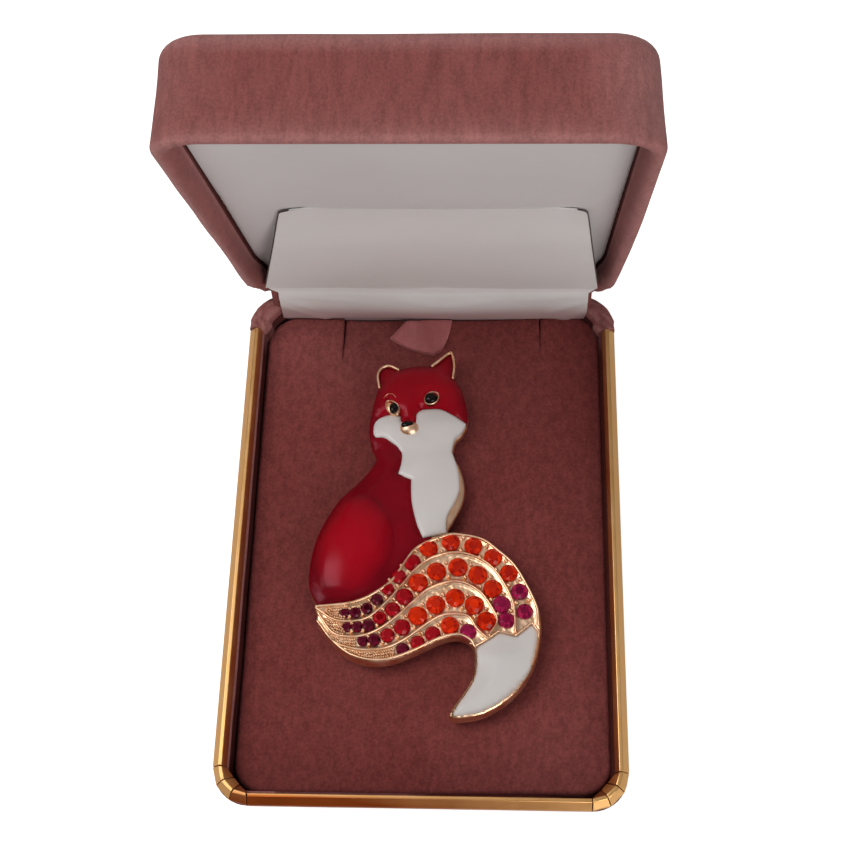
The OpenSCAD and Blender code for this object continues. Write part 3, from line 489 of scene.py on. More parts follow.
def tubeAlong(path, width, height, sides=10, ends=3):
    # A rounded wire along a path of (x, y, z) points, with rounded ends
    path = np.array(path, float)
    tangent = np.gradient(path, axis=0)
    tangent /= np.linalg.norm(tangent, axis=1)[:, None]
    side = np.cross(tangent, (0, 0, 1))
    side /= np.linalg.norm(side, axis=1)[:, None]
    up = np.cross(side, tangent)
    turns = [math.radians(90 * k / ends) for k in range(1, ends + 1)]
    stations = [(path[0] - tangent[0] * width / 2 * math.sin(a), side[0], up[0], max(math.cos(a), 0.02))
                for a in reversed(turns)]
    stations += [(path[k], side[k], up[k], 1) for k in range(len(path))]
    stations += [(path[-1] + tangent[-1] * width / 2 * math.sin(a), side[-1], up[-1], max(math.cos(a), 0.02))
                 for a in turns]
    angles = [2 * math.pi * k / sides for k in range(sides)]
    return joinRings([[centre + across * (width / 2 * size * math.cos(a)) + lift * (height / 2 * size * math.sin(a))
                       for a in angles] for centre, across, lift, size in stations])


def turned(centre, x, y, turn):
    # A step from a centre, turned by an angle in radians
    return (centre[0] + x * math.cos(turn) - y * math.sin(turn), centre[1] + x * math.sin(turn) + y * math.cos(turn))


def dome(centre, radii, height, turn=0.0, rings=8, sides=28, low=0, least=0.01):
    # A round cap on an oval foot, or a bead that starts at an angle below its middle
    made = []
    for j in range(rings + 1):
        a = math.radians(low + (90 - low) * j / rings)
        size = max(math.cos(a), least)
        ovals = [(radii[0] * size * math.cos(b), radii[1] * size * math.sin(b))
                 for b in (2 * math.pi * k / sides for k in range(sides))]
        made.append([(*turned(centre, x, y, turn), centre[2] + height * math.sin(a)) for x, y in ovals])
    return joinRings(made)


def smoothStep(value, low, high):
    share = np.clip((np.asarray(value, float) - low) / (high - low), 0, 1)
    return share * share * (3 - 2 * share)


def bell(value, width):
    return np.exp(-(value / width) ** 2)


def noiseAt(*place):
    return noise.noise(Vector(place))


def softNoise(x, y, scale, seed=0.0):
    return np.array([noiseAt(a * scale, b * scale, seed) for a, b in zip(np.ravel(x), np.ravel(y))])


def paired(x, y):
    return np.stack([np.ravel(x), np.ravel(y)], axis=1)


def drawnLine(table, at, closed=True, steps=6):
    # Smooth line through the rows of a table, with its corners kept
    n = len(table)

    def slope(i):
        if len(table[i]) > 2:
            return np.zeros(2)
        if closed or 0 < i < n - 1:
            return (at(table[(i + 1) % n]) - at(table[i - 1])) / 2
        return at(table[1]) - at(table[0]) if i == 0 else at(table[-1]) - at(table[-2])

    made = []
    for i in range(n if closed else n - 1):
        p, q = at(table[i]), at(table[(i + 1) % n])
        u, v = slope(i), slope((i + 1) % n)
        for k in range(steps):
            s = k / steps
            made.append((2 * s ** 3 - 3 * s * s + 1) * p + (s ** 3 - 2 * s * s + s) * u
                        + (3 * s * s - 2 * s ** 3) * q + (s ** 3 - s * s) * v)
    if not closed:
        made.append(at(table[-1]))
    return np.array(made)


def lidPoint(x, away, up):
    # Point of the lid at rest: across, away from the hinge along the rim, and up from the rim into the lid
    a = math.radians(box["lidOpen"])
    return (x, hingeY - away * math.cos(a) + up * math.sin(a),
            box["baseHeight"] + away * math.sin(a) + up * math.cos(a))


# Velvet shells
def arc(x, y, radius, start, turns):
    # A quarter turn, anticlockwise
    angles = [math.radians(start + 90 * k / turns) for k in range(turns + 1)]
    return [(x + radius * math.cos(a), y + radius * math.sin(a)) for a in angles]


def roundedEdge(radius, steps):
    # A quarter turn as insets from its upright side and drops from its level side
    angles = [math.radians(90 * k / steps) for k in range(steps + 1)]
    return [(radius * (1 - math.cos(a)), radius * (1 - math.sin(a))) for a in angles]


def shellRing(s, side, back, turns=10):
    # One ring of a shell, anticlockwise from the right end of the back, always with as many points
    front, rear = s["frontRadius"], s["backRadius"]
    if "leastRadius" in s:
        front, rear = max(front - side, s["leastRadius"]), max(rear - side, s["leastRadius"])
    x1, y0, y1 = halfWidth - side, -hingeY + side, hingeY - back
    frontStops = np.linspace(-x1 + front, x1 - front, 14)[1:-1]
    return [*arc(x1 - rear, y1 - rear, rear, 0, turns), *((x, y1) for x in s["backStops"]),
            *arc(-x1 + rear, y1 - rear, rear, 90, turns), *((-x1, y) for y in s["sideStops"]),
            *arc(-x1 + front, y0 + front, front, 180, turns), *((x, y0) for x in frontStops),
            *arc(x1 - front, y0 + front, front, 270, turns), *((x1, y) for y in reversed(s["sideStops"]))]


baseShell = {
    "bandStop": 39.5, "slot": 26.2, "edgeRadius": 2.1, "frontRadius": 6.0, "backRadius": 6.0, "leastRadius": 1.2,
    "sideStops": [39.6, 39.4, 36, 31, 26, 20, 14, 8, 2, -4, -10, -16, -22, -28, -33, -37],
    "backStops": [26.3, 26.1, 22, 16, 10, 4, -2, -8, -14, -20, -26.1, -26.3],
    "wallSwell": 0.1, "crush": 0.16, "lowCorner": 0.9, "tuck": 1.9, "pleat": 0.2, "slack": 1.1, "cornerLift": 0.14,
    "highest": 13.6, "puff": 0.12,
    # Inset and height under the band, over the rim at the back, and below the hinge
    "rim": [(0.22, 11.15, 0.1, 11.9, 0.1, 11.6), (0.5, 11.1, 0.1, 12.7, 0.1, 12.1), (1.2, 11.1, 0.3, 13.25, 0.3, 12.3),
            (1.91, 11.1, 0.8, 13.5, 0.8, 12.34), (1.95, 11.3, 1.4, 13.45, 1.3, 12.3), (2.1, 11.5, 1.9, 13.1, 1.6, 12.1),
            (2.3, 11.55, 2.3, 12.5, 1.7, 11.8), (2.5, 11.4, 2.55, 11.8, 1.75, 11.4), (2.6, 11.0, 2.7, 10.9, 1.8, 11),
            (2.74, 9, 2.8, 9, 2, 8.5), (3.3, 1.62, 3.3, 1.62, 2.5, 1.62)],
}


def pleats(x, y):
    return math.sin(3.4 * y + 4.1 * abs(x))


def makeBaseShell(s):
    wall = [(inset, z) for z, inset in roundedEdge(s["edgeRadius"], 6)]
    wall += [(-s["wallSwell"] * math.sin(math.pi * z / 11), z) for z in (4, 6, 8, 9.6, 10.8)]
    rows = [(box["lean"] * (box["baseHeight"] - z) + inset, z) * 3 for inset, z in wall] + s["rim"]
    collar = 15  # the rows after this one stand inside the band
    rings = []
    for index, (bandInset, bandZ, backInset, backZ, slotInset, slotZ) in enumerate(rows):
        ring = []
        # The back wall is thinner than the sides
        for (px, py), (x, y), (slotX, slotY) in zip(
                shellRing(s, bandInset, bandInset), shellRing(s, backInset, min(backInset, 0.5 + 0.45 * backInset)),
                shellRing(s, backInset, slotInset * 0.9)):
            if py < s["bandStop"]:
                # The collar is crushed here and there, and lies low in the front corners
                crush = s["crush"] * noiseAt(px * 0.35, py * 0.22, 2.2) if index > collar else 0
                low = s["lowCorner"] if collar < index < 21 and px > 20 else 0
                # The front leans in more towards the floor
                tuck = s["tuck"] * (1 - bandZ / 11.5) * smoothStep(-py, 36, 44) * (index < 12)
                ring.append((px + math.copysign(crush, px), py + tuck, bandZ - low + 0.8 * crush))
            elif abs(slotX) < s["slot"] and slotY > 42:
                ring.append((slotX, slotY, slotZ))
            else:
                # Gathers of the cloth round the back corners, with slack velvet that leans in towards the pad
                pleat = s["pleat"] * pleats(x, y) * (bell(abs(x) - 30.5, 3) * smoothStep(backZ, 8, 12))
                slack = s["slack"] * bell(abs(x) - 29.5, 2.6) * smoothStep(backInset, 1.6, 2.6)
                slack *= smoothStep(y, 38.5, 42) * smoothStep(backZ, 6, 9)
                x, y = x - math.copysign(slack, x), y - 0.6 * slack
                lift = s["cornerLift"] * bell(abs(x) - 27.2, 1.4) * smoothStep(backZ, 12.6, 13.4)
                ring.append((x - math.copysign(1, x) * pleat, y, min(backZ + 0.5 * pleat + lift, s["highest"])))
        rings.append(ring)
    points, faces = joinRings(rings)
    ringSize, wallRow = len(rings[0]), len(rows) - 4
    rub, moved = [], []
    for k, (x, y, z) in enumerate(points):
        row = k // ringSize
        # Painted sheen and light: the velvet over the back corners is paler, more on the ridges of its gathers, and the
        # collar on the left inside the band is paler
        if y > s["bandStop"] - 1:
            rub.append(0.5 + 0.4 * pleats(x, y) if 14 <= row <= 21 else 0)
        else:
            rub.append(0.7 if 16 <= row <= 19 and x < 0 else 0)
        puff = s["puff"] * noiseAt(x * 0.09, y * 0.09, z * 0.15) * (1 if z < 11 else 0.3)
        moved.append((x + math.copysign(puff, x) * 0.7, y + math.copysign(puff, y) * 0.7, z))

    def isShaded(f):
        # The well, and the collar at the right and at the front, which lies in shade: they wear a darker copy of the
        # velvet as painted shade
        x, y, _ = points[min(f)]
        row = min(f) // ringSize
        return row > wallRow or (row > collar and ((x > 22 and y < s["bandStop"] - 1.5) or (y < -42.5 and x > -23)))
    addPiece("baseVelvet", (moved, faces), "boxVelvet", "base", sharp=55, replaced=["base_shell"], rub=rub,
             second=("paintedShadeVelvet", isShaded))


makeBaseShell(baseShell)


def liningShift(x, y):
    # The lining stands a little off square in the lid: how far its sides are moved outwards
    share = float(np.clip((79 - (hingeY - y)) / 64, 0, 1))
    if x < 0:
        return (0.85 * share - 0.38) * smoothStep(-x, 24, 29)
    return (-0.15 + 0.33 * share) * smoothStep(x, 24, 29)


lidShell = {
    "slot": 26.2, "edgeRadius": 2.4, "frontRadius": 7.5, "backRadius": 6.0, "leastRadius": 1.0,
    "wall": 2.5, "backWall": 1.6, "swell": 0.42, "leftSwell": 0.6, "rightSwell": -0.15, "pull": 0.1, "puff": 0.16,
    "cornerFill": 1.7, "cornerPleat": 0.22, "rollInside": 3.1, "rollOutside": 1.2, "lowest": 0.14,
    "sideStops": [38, 35, 31, 26, 20, 14, 8, 2, -4, -10, -16, -22, -28, -33, -36],
    "backStops": [26.3, 26.1, 22, 16, 10, 4, -2, -8, -14, -20, -26.1, -26.3],
    # The flat top is closed by ever smaller rings
    "topRings": (0.82, 0.55, 0.25),
}


def makeLidShell(s):
    walls = (s["wall"], s["backWall"])
    rows = [(walls[0] + box["lean"] * z + more, walls[1] + box["lean"] * z, z)
            for z, more in ((7, 0.3), (5, 0.3), (3.7, 0.1))]
    for k in range(11):
        a = math.radians(180 * k / 10)
        z = 0.15 + s["rollInside" if k < 5 else "rollOutside"] * (1 - math.sin(a))
        rows.append((*(wall * (1 + math.cos(a)) / 2 + box["lean"] * z for wall in walls), z))
    outside = [(0, z) for z in (2.4, 4, 6, 8, 10, 11.6)]
    outside += [(inset, box["lidHeight"] - drop) for inset, drop in roundedEdge(s["edgeRadius"], 7)]
    rows += [(box["lean"] * z + inset, box["lean"] * z + inset, z) for inset, z in outside]
    rings, rub = [], []
    for index, (side, back, z) in enumerate(rows):
        made = []
        inner = float(np.clip((9 - index) / 5, 0, 1))
        bulges = index > 9 and z < 14.8
        # Painted sheen: the velvet is paler over the rounded rim, along the top edge and at the front corners, and the
        # rows next to the lining fade out of the painted shade
        level = max(0.8 * bell(index - 10.5, 3.0) if index > 3 else 0.6 * (index == 3),
                    0.9 * smoothStep(z, 11.4, 14.2) * (index < 27))
        for x, y in shellRing(s, side, back, turns=26):
            end = (0.75 if x > 0 else 0.3) * (smoothStep(abs(x), 20, 32) * smoothStep(-y, 36, 44)) * (index > 12)
            rub.append(max(level, end))
            height = 1.4 if abs(x) < s["slot"] and y > 43.5 and z < 1.4 else z
            # The padding swells along the sides and is drawn in at the hinge end
            along = (y + hingeY) / box["length"]
            swell = s["swell"] * math.sin(math.pi * min(max(along, 0), 1)) ** 0.7 if bulges else 0
            atHinge = smoothStep(y, 16, 40) * smoothStep(abs(x), 14, 30)
            swell += s["leftSwell" if x < 0 else "rightSwell"] * atHinge * bulges
            grow = swell - s["pull"] * smoothStep(y, 36, 46) * (z < 3.5)
            if index < 14:
                # Beside the lining, and fuller and pleated towards the hinge corners
                grow += liningShift(x, y) * inner
                full = bell(abs(x) - 29.8, 2.6) * smoothStep(y, 31, 41) * (1 - smoothStep(z, 2, 9))
                grow -= s["cornerFill"] * full * inner
                height += s["cornerPleat"] * math.sin(6 * abs(x) + 3.2 * y) * full - 0.3 * full * inner
                height = max(height, s["lowest"])
            grow += s["puff"] * noiseAt(x * 0.08, y * 0.08, z * 0.2 + 7) if index > 9 else 0
            reach = math.hypot(x / halfWidth, y / hingeY) or 1
            made.append((x + grow * x / halfWidth / reach, y + grow * y / hingeY / reach, height))
        rings.append([lidPoint(x, hingeY - y, h) for x, y, h in made])
    rings += [[lidPoint(x * size, hingeY - y * size, h) for x, y, h in made] for size in s["topRings"]]
    ringSize = len(rings[0])
    # The rows inside the lid next to the lining wear the darker velvet as painted shade
    addPiece("lidVelvet", joinRings(rings, capStart=False), "boxVelvet", "lid", sharp=60, replaced=["lid_shell"],
             rub=rub, second=("paintedShadeVelvet", lambda f: min(f) < 3 * ringSize))


makeLidShell(lidShell)
print("velvet shells made")

# Gold band in facets
rimBand = {"cornerRadius": 6.0, "facets": 3, "stop": 7.0, "cut": 0.07, "soften": 0.09,
           # Inset of the section's corners at the sides and at the front, their height, and what the facets lose
           "section": [(0.165, 0.165, rimZ - 2.2, 0), (0.09375, 0.09375, rimZ - 1.25, 0), (1.15, 1.15, rimZ, 0),
                       (1.72, 1.72, rimZ, 0), (2.34, 2.04, 12.15, 0.9), (2.19, 1.94, rimZ - 2.2, 0.6)],
           # How much painted dark reflection each facet carries at its two ends, from the right side round the front to
           # the left side
           "darkReflection": [(0.08, 0.05), (0.05, 0.05), (0.05, 0.05), (0.15, 0.15), (0.3, 1.5), (1, 1), (0.28, 0.28),
                    (0.2, 0.2), (0.2, 0.22)]}


def makeBand(s):
    def line(side, front, chamfer):
        x, y = halfWidth - s["cornerRadius"], -hingeY + s["cornerRadius"]
        across, down = s["cornerRadius"] - side, s["cornerRadius"] - front
        points = [(x + across, hingeY - s["stop"])]
        for k in range(s["facets"] + 1):
            a = math.radians(90 * k / s["facets"])
            less = chamfer if 0 < k < s["facets"] else 0
            points.append((x + (across - less) * math.cos(a), y - (down - less) * math.sin(a)))
        return points + [(-px, py) for px, py in reversed(points)]

    lines = [line(side, front, chamfer) for side, front, _, chamfer in s["section"]]
    parts, rub = [], []
    for k, ends in enumerate(s["darkReflection"]):
        # Painted dark reflection: full on the outer face, fading across the top, and a fixed amount on the inner face
        rub += [value for darkReflection in ends for value in (darkReflection, darkReflection, darkReflection * 0.85, darkReflection * 0.2, 0.6, 0.6)]
        rings = [[], []]
        for (_, _, z, _), path in zip(s["section"], lines):
            a, b = Vector(path[k]), Vector(path[k + 1])
            step = (b - a).normalized() * s["cut"]
            for ring, p in zip(rings, (a + step, b - step)):
                ring.append((p.x, p.y, z))
        parts.append(joinRings(rings))
    made = addPiece("goldBand", joinParts(parts), "bandGold", None, sharp=20, rub=rub)
    soften = made.modifiers.new("soften", "BEVEL")
    soften.width = s["soften"] * mm
    soften.segments = 3
    soften.limit_method = "ANGLE"
    soften.angle_limit = math.radians(18)
    final = bpy.data.meshes.new_from_object(made.evaluated_get(bpy.context.evaluated_depsgraph_get()))
    made.modifiers.clear()
    made.data = final
    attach(made, "base")
    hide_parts("rim_band")


makeBand(rimBand)
print("gold band made")

# Pad and pull tab
padLook = {"left": 2.85, "right": 2.5, "front": 2.9, "back": 2.1, "frontRadius": 4.8, "leftBackRadius": 5.6,
           "rightBackRadius": 5.2, "edge": 0.75, "backEdge": 0.5, "leftSlit": (-16.2, 9.6), "rightSlit": (19.7, 6.7),
           "slitWidth": 0.26, "tongue": 0.75, "backBulge": 0.3, "frontBulge": (0.15, 0.45), "soft": 0.07, "fine": 0.035,
           "rightCorner": 0.45, "leftCorner": 0.2}


def makePad(s):
    x0, x1 = -halfWidth + s["left"], halfWidth - s["right"]
    y0, y1 = -hingeY + s["front"], hingeY - s["back"]
    left, right, front = s["leftBackRadius"], s["rightBackRadius"], s["frontRadius"]
    (leftX, leftDepth), (rightX, rightDepth) = s["leftSlit"], s["rightSlit"]

    def straight(p, q, count):
        return [(p[0] + (q[0] - p[0]) * k / count, p[1] + (q[1] - p[1]) * k / count) for k in range(1, count)]

    def notch(x, depth):
        side = [(s["slitWidth"] / 2 * (1 - k / 9), y1 - depth * k / 9) for k in range(9)]
        return [*((x + gap, y) for gap, y in side), (x, y1 - depth), *((x - gap, y) for gap, y in reversed(side))]

    outline = [*arc(x1 - right, y1 - right, right, 0, 12), *notch(rightX, rightDepth),
               *straight((rightX, y1), (leftX, y1), 30), *notch(leftX, leftDepth),
               *arc(x0 + left, y1 - left, left, 90, 12), *straight((x0, y1 - left), (x0, y0 + front), 50),
               *arc(x0 + front, y0 + front, front, 180, 12), *straight((x0 + front, y0), (x1 - front, y0), 30),
               *arc(x1 - front, y0 + front, front, 270, 12), *straight((x1, y0 + front), (x1, y1 - right), 50)]
    bulge = s["frontBulge"]
    outline = [(x, y + s["backBulge"] * (smoothStep(x, 5, 25) * smoothStep(y, 38, 44))
                + (bulge[0] + bulge[1] * smoothStep(x, -10, 24)) * smoothStep(-y, 34, 42)) for x, y in outline]

    def topOf(x, y, depth):
        nearSlit = np.minimum(*(np.hypot(x - slitX, np.maximum(y1 - slitDepth - y, 0))
                                for slitX, slitDepth in (s["leftSlit"], s["rightSlit"])))
        backEdge = smoothStep(y, y1 - 1.6, y1 - 0.2) * (1 - smoothStep(np.abs(x), x1 - 6, x1 - 3))
        radius = np.where(nearSlit < 1.2, 0.16, s["edge"] + (s["backEdge"] - s["edge"]) * backEdge)
        rounding = 1 - np.clip(depth / radius, 0, 1)
        z = padZ - radius * (1 - np.sqrt(np.maximum(1 - rounding ** 2, 0)))
        # The tongue between the slits lies a little lower than the pad beside it
        between = (x > leftX) * (1 - smoothStep(x, leftX, rightX + 3) * 0.8)
        z = z - s["tongue"] * smoothStep(y, y1 - leftDepth, y1 - 2) * between * (x < rightX)
        z = z + s["soft"] * softNoise(x, y, 0.12, 3.0) + s["fine"] * softNoise(x, y, 0.45, 9.0)
        # It stands a little higher at its back corners
        corners = s["rightCorner"] * smoothStep(x, 12, 26) + s["leftCorner"] * smoothStep(-x, 18, 27)
        return z + corners * smoothStep(y, 34, 43)

    shape, _ = platePiece(outline, 1.25, (0.3, 0.65, 1.05, 1.5), topOf, 1.66,
                          skirt=((0.0, 0.4), (-0.1, 0.7), (-0.3, 1)))
    # The pile is paler at the back left and the front right
    rub = [0.55 * (smoothStep(y, 20, 42) * smoothStep(-x, -10, 22))
           + 0.3 * (smoothStep(-y, 5, 40) * smoothStep(x, 0, 28)) for x, y, _ in shape[0]]
    made = addPiece("velvetPad", shape, "padVelvet", "base", sharp=70, replaced=["pad"], rub=rub)


makePad(padLook)

pullTab = {"outline": [(-5.0, 43.6, 1), (-7.75, 40.15, 1), (-5.8, 38.75), (-3.4, 37.5), (-0.7, 36.6), (0.6, 36.3, 1),
                       (1.9, 37.8), (3.1, 41.2), (3.6, 44.2, 1), (-1, 44.2)],
           "thickness": 0.35, "above": 0.2, "curl": 0.45, "fold": 0.5, "dip": 0.55}


def makeTab(s):
    def topOf(x, y, depth):
        # The free end curls up a little, and a soft fold runs along its left side
        curl = s["curl"] * smoothStep(-y, -39.5, -36.3) + s["fold"] * bell(x + 6.2 - (y - 40) * 0.5, 1.1)
        dip = s["dip"] * smoothStep(y, 38.5, 43)
        return padZ + s["above"] + s["thickness"] * np.clip(depth / 0.2, 0, 1) ** 0.5 + curl - dip
    outline = drawnLine(s["outline"], lambda row: np.array(row[:2]))
    shape, _ = platePiece(outline, 0.4, (0.12, 0.3), topOf, padZ - 0.55, rounds=2)
    addPiece("pullTab", shape, "tabRibbon", "base", sharp=70, replaced=["pull_tab"])


makeTab(pullTab)
print("pad and pull tab made")

# Satin lining of the lid, and below it the cover over the hinge
liningLook = {"inset": 2.62, "backInset": 2.8, "frontRadius": 5.0, "backRadius": 2.4, "drop": 3.95, "edge": 0.9,
              "bow": 0.35, "crease": 0.24, "swell": 0.3, "soft": 0.1, "fine": 0.05,
              "sideStops": [38, 30, 20, 10, 0, -10, -20, -30, -38], "backStops": [20, 10, 0, -10, -20],
              # Creases in the satin: across, and away from the hinge
              "creases": [[(-21.5, 47.5), (-22.5, 55), (-24.5, 66)], [(25.8, 48), (28, 57), (29, 66)]]}


def liningDepth(x, away):
    # How deep the satin lies in the lid: the card bows a little, and the satin has slack over it
    x, away = np.ravel(x), np.ravel(away)
    across, along = (np.cos(np.clip(part, -1, 1) * math.pi / 2) for part in (x / 31, (hingeY - away) / 45))
    s = liningLook
    creases = sum(s["crease"] * bell(edgeDistance(paired(x, away), line, closed=False), 1.3)
                  * (1 - smoothStep(away, 56, 68)) for line in s["creases"])
    swell = s["swell"] * bell(away - 52, 5) * bell(x - 1, 18)
    return s["drop"] - s["bow"] * across * along - creases - swell


def makeLining(s):
    ring = divided(np.array(shellRing(s, s["inset"], s["backInset"])), 2.0)
    ring = [(x + math.copysign(liningShift(x, y), x), y) for x, y in ring]

    def topOf(x, y, depth):
        rounding = 1 - np.clip(depth / s["edge"], 0, 1)
        edge = s["edge"] * (1 - np.sqrt(np.maximum(1 - rounding ** 2, 0)))
        slack = s["soft"] * softNoise(x, y, 0.09, 5.0) + s["fine"] * softNoise(x, y, 0.3, 2.0)
        return -liningDepth(x, hingeY - y) - edge + slack * np.clip(depth / 3, 0, 1)

    (points, faces), _ = platePiece(ring, 1.3, (0.25, 0.55, 0.85, 1.15), topOf, -10, rounds=2)
    points = [lidPoint(x, hingeY - y, -h) for x, y, h in points]
    # The lining wears the darker satin as painted shade
    addPiece("satinLining", (points, faces), "paintedShadeLiningSatin", "lid", sharp=70, replaced=["lid_lining"])


makeLining(liningLook)

cover = {
    "farEdge": 47.5, "fold": 5.9, "farLeft": -21.5, "farRight": 25.1, "foldLeft": -29.6, "foldRight": 29.6,
    "stripLeft": -27.4, "stripRight": 28.05, "cornerRadius": 2.7, "thickness": 0.3, "across": 84,
    "rise": 3.35, "sag": 0.06, "dimple": 0.4, "curl": 0.3, "behind": 0.13, "belly": 0.8, "wave": 0.12,
    # Where the flap comes down to the lining, away from the hinge
    "tucked": (30, 47.5),
    # Creases of the roll: across and height at their two ends, then size and width
    "wrinkles": [(-27.5, -21, 16.8, 13.2, 0.3, 0.55), (-27, -19.5, 14.5, 9.5, 0.28, 0.7),
                 (-25.5, -14, 17.2, 16.4, 0.16, 0.6), (28.5, 21, 16.6, 12.4, 0.32, 0.6),
                 (28.2, 23.5, 13.6, 8.6, 0.26, 0.6), (27, 15, 17.4, 16.6, 0.16, 0.6),
                 (-6, 3, 16.9, 15.3, 0.14, 0.6), (3, 12, 15.6, 16.8, 0.14, 0.6)],
    # Places and heights of the roll, from the fold down to behind the pad
    "roll": [(44.5, 19.2), (44.15, 18.75), (43.95, 18.3), (43.85, 17.75), (43.78, 17.1), (43.74, 16.4), (43.7, 15.6),
             (43.68, 14.7), (43.68, 13.8), (43.68, 12.9), (43.68, 12), (43.7, 11.1), (43.74, 10.2), (43.86, 9.5),
             (44.3, 8.7), (44.7, 7), (44.7, 5.4)],
}


def coverRows(s):
    # Each row of the sheet: its part, its two ends across, its place and height, and the share along its part
    rows = []
    for k in range(31):
        share = (k / 30) ** 1.4
        down = (s["farEdge"] - s["fold"]) * share
        left = s["farLeft"] + (s["foldLeft"] - s["farLeft"]) * share
        right = s["farRight"] + (s["foldRight"] - s["farRight"]) * share
        r = s["cornerRadius"]
        if down < r:
            cut = r - math.sqrt(max(r * r - (r - down) ** 2, 0))
            left, right = left + cut, right - cut
        rise = s["rise"] * (1 - share) ** 1.05 - 0.05 * share
        rows.append(("lid", left, right, s["farEdge"] - down, rise, share))
    for k, (y, z) in enumerate(s["roll"]):
        share = min(k / 2.0, 1)
        left = s["foldLeft"] + (s["stripLeft"] - s["foldLeft"]) * share
        right = s["foldRight"] + (s["stripRight"] - s["foldRight"]) * share
        rows.append(("roll", left, right, y, z, k / (len(s["roll"]) - 1)))
    return rows


def clothSheet(grid, thickness):
    # A thin sheet from a grid of points: its points and faces, its area, and its length down the middle
    grid = np.array(grid)
    normal = np.cross(np.gradient(grid, axis=1), np.gradient(grid, axis=0))
    normal /= np.linalg.norm(normal, axis=2)[:, :, None]
    rowCount, columnCount = grid.shape[:2]
    if normal[rowCount // 2, columnCount // 2][1] < 0:
        normal = -normal
    points = [*grid.reshape(-1, 3), *(grid + normal * thickness).reshape(-1, 3)]
    total = rowCount * columnCount
    faces = []
    for j in range(rowCount - 1):
        for a in range(j * columnCount, (j + 1) * columnCount - 1):
            b = a + columnCount
            faces += [(a, a + 1, b + 1, b), (total + a, total + b, total + b + 1, total + a + 1)]
    numbers = np.arange(total).reshape(rowCount, columnCount)
    border = [int(i) for i in (*numbers[0], *numbers[1:, -1], *numbers[-1, -2::-1], *numbers[-2:0:-1, 0])]
    faces += [(a, a + total, b + total, b) for a, b in zip(border, border[1:] + border[:1])]
    cross = np.cross(grid[1:, 1:] - grid[:-1, :-1], grid[:-1, 1:] - grid[1:, :-1])
    area = float(np.linalg.norm(cross, axis=2).sum() / 2)
    lengthDown = float(np.linalg.norm(np.diff(grid[:, columnCount // 2], axis=0), axis=1).sum())
    return (points, faces), area, lengthDown


def tucked(x, away, up):
    # Height of the flap over the lid's rim, which comes down to the lining at its far edge
    share = smoothStep(away, *cover["tucked"])
    return up * (1 - share) + share * liningDepth(x, away)[0]


def makeCover(s):
    grid, rub = [], []
    for kind, left, right, a, b, share in coverRows(s):
        line = []
        for u in (k / s["across"] for k in range(s["across"] + 1)):
            x = left + (right - left) * u
            if kind == "lid":
                sag = s["sag"] * noiseAt(x * 0.12, a * 0.12, 1.5) * (1 - smoothStep(a, 30, 44))
                dimple = s["dimple"] * bell(x - 1.5, 2.4) * bell(a - 7.2, 1.3)
                # The far edge is tucked against the lining, apart from its two curled corners
                curl = s["curl"] * bell(min(u, 1 - u), 0.035) * smoothStep(a, 36, 46)
                line.append(lidPoint(x, a, tucked(x, a, b) - curl - s["behind"] + sag + dimple))
            else:
                # The roll bellies out towards the middle and creases at its ends
                belly = s["belly"] * bell(x - 1.0, 15) * math.sin(math.pi * min(share * 1.3, 1))
                wave = s["wave"] * noiseAt(x * 0.16, b * 0.2, 4.2)
                for x0, x1, b0, b1, size, width in s["wrinkles"]:
                    gap = edgeDistance(np.array([[x, b]]), [(x0, b0), (x1, b1)], closed=False)[0]
                    belly += size * bell(gap, width)
                line.append((x, a - belly - abs(wave), b - 0.25 * belly))
        grid.append(line)
        # Painted shade: the roll darkens to a reddish tone towards its bottom, a painted reflection of the velvet, and
        # a little just under the fold, and the flap takes a trace of it
        low = smoothStep(share, 0.36, 0.7) + 0.2 * (share < 0.07) if kind == "roll" else 0.05
        rub += [low] * len(line)
    shape, area, lengthDown = clothSheet(grid, s["thickness"])
    made = addPiece("satinCover", shape, "satin", None, sharp=50, rub=rub + rub)
    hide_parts("flap", "strip")
    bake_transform(made)
    print("cover:", round(lengthDown, 1), "mm long, area", round(area), "mm2")


makeCover(cover)

# Dark tubes where the flap's sides are tucked into slits of the lining: painted shade in the slits
paintedSlitShade = {"stop": 9.0, "width": 0.19, "thick": 0.32, "sunk": 0.35}


def makePaintedSlitShade(s):
    parts = []
    rows = [row for row in coverRows(cover) if row[0] == "lid" and row[3] > s["stop"]]
    for sign, column in ((-1, 1), (1, 2)):
        path = [lidPoint(row[column] + 0.1 * sign, row[3], tucked(row[column], row[3], row[4])
                         - s["sunk"] * smoothStep(row[3], *cover["tucked"]) + 0.05) for row in rows]
        parts += [tubeAlong(path[1:5], s["thick"], s["thick"] * 0.6, 8), tubeAlong(path[2:], s["width"], 0.3, 8)]
    addPiece("paintedSlitShade", joinParts(parts), "slitShade", "lid")


makePaintedSlitShade(paintedSlitShade)

# Velvet behind the satin, which joins the box's two halves
hingeCloth = {"left": -28.8, "right": 28.7, "behind": 0.55, "thickness": 0.2, "lowest": 9.0, "highest": 8.5}


def makeHingeCloth(s):
    grid = []
    places = np.linspace(s["left"], s["right"], 30)
    for kind, _, _, a, b, _ in coverRows(cover):
        if kind == "lid" and a < s["highest"]:
            grid.append([lidPoint(x, a, b + s["behind"]) for x in places])
        elif kind == "roll" and s["lowest"] < b < 19:
            grid.append([(x, a + s["behind"] + 0.08 * math.sin(3.1 * x + 0.7 * b), b) for x in places])
    shape, area, lengthDown = clothSheet(grid, s["thickness"])
    made = addPiece("hingeVelvet", shape, "boxVelvet", None, sharp=60)
    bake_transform(made)
    print("hinge velvet:", round(lengthDown, 1), "mm long, area", round(area), "mm2")


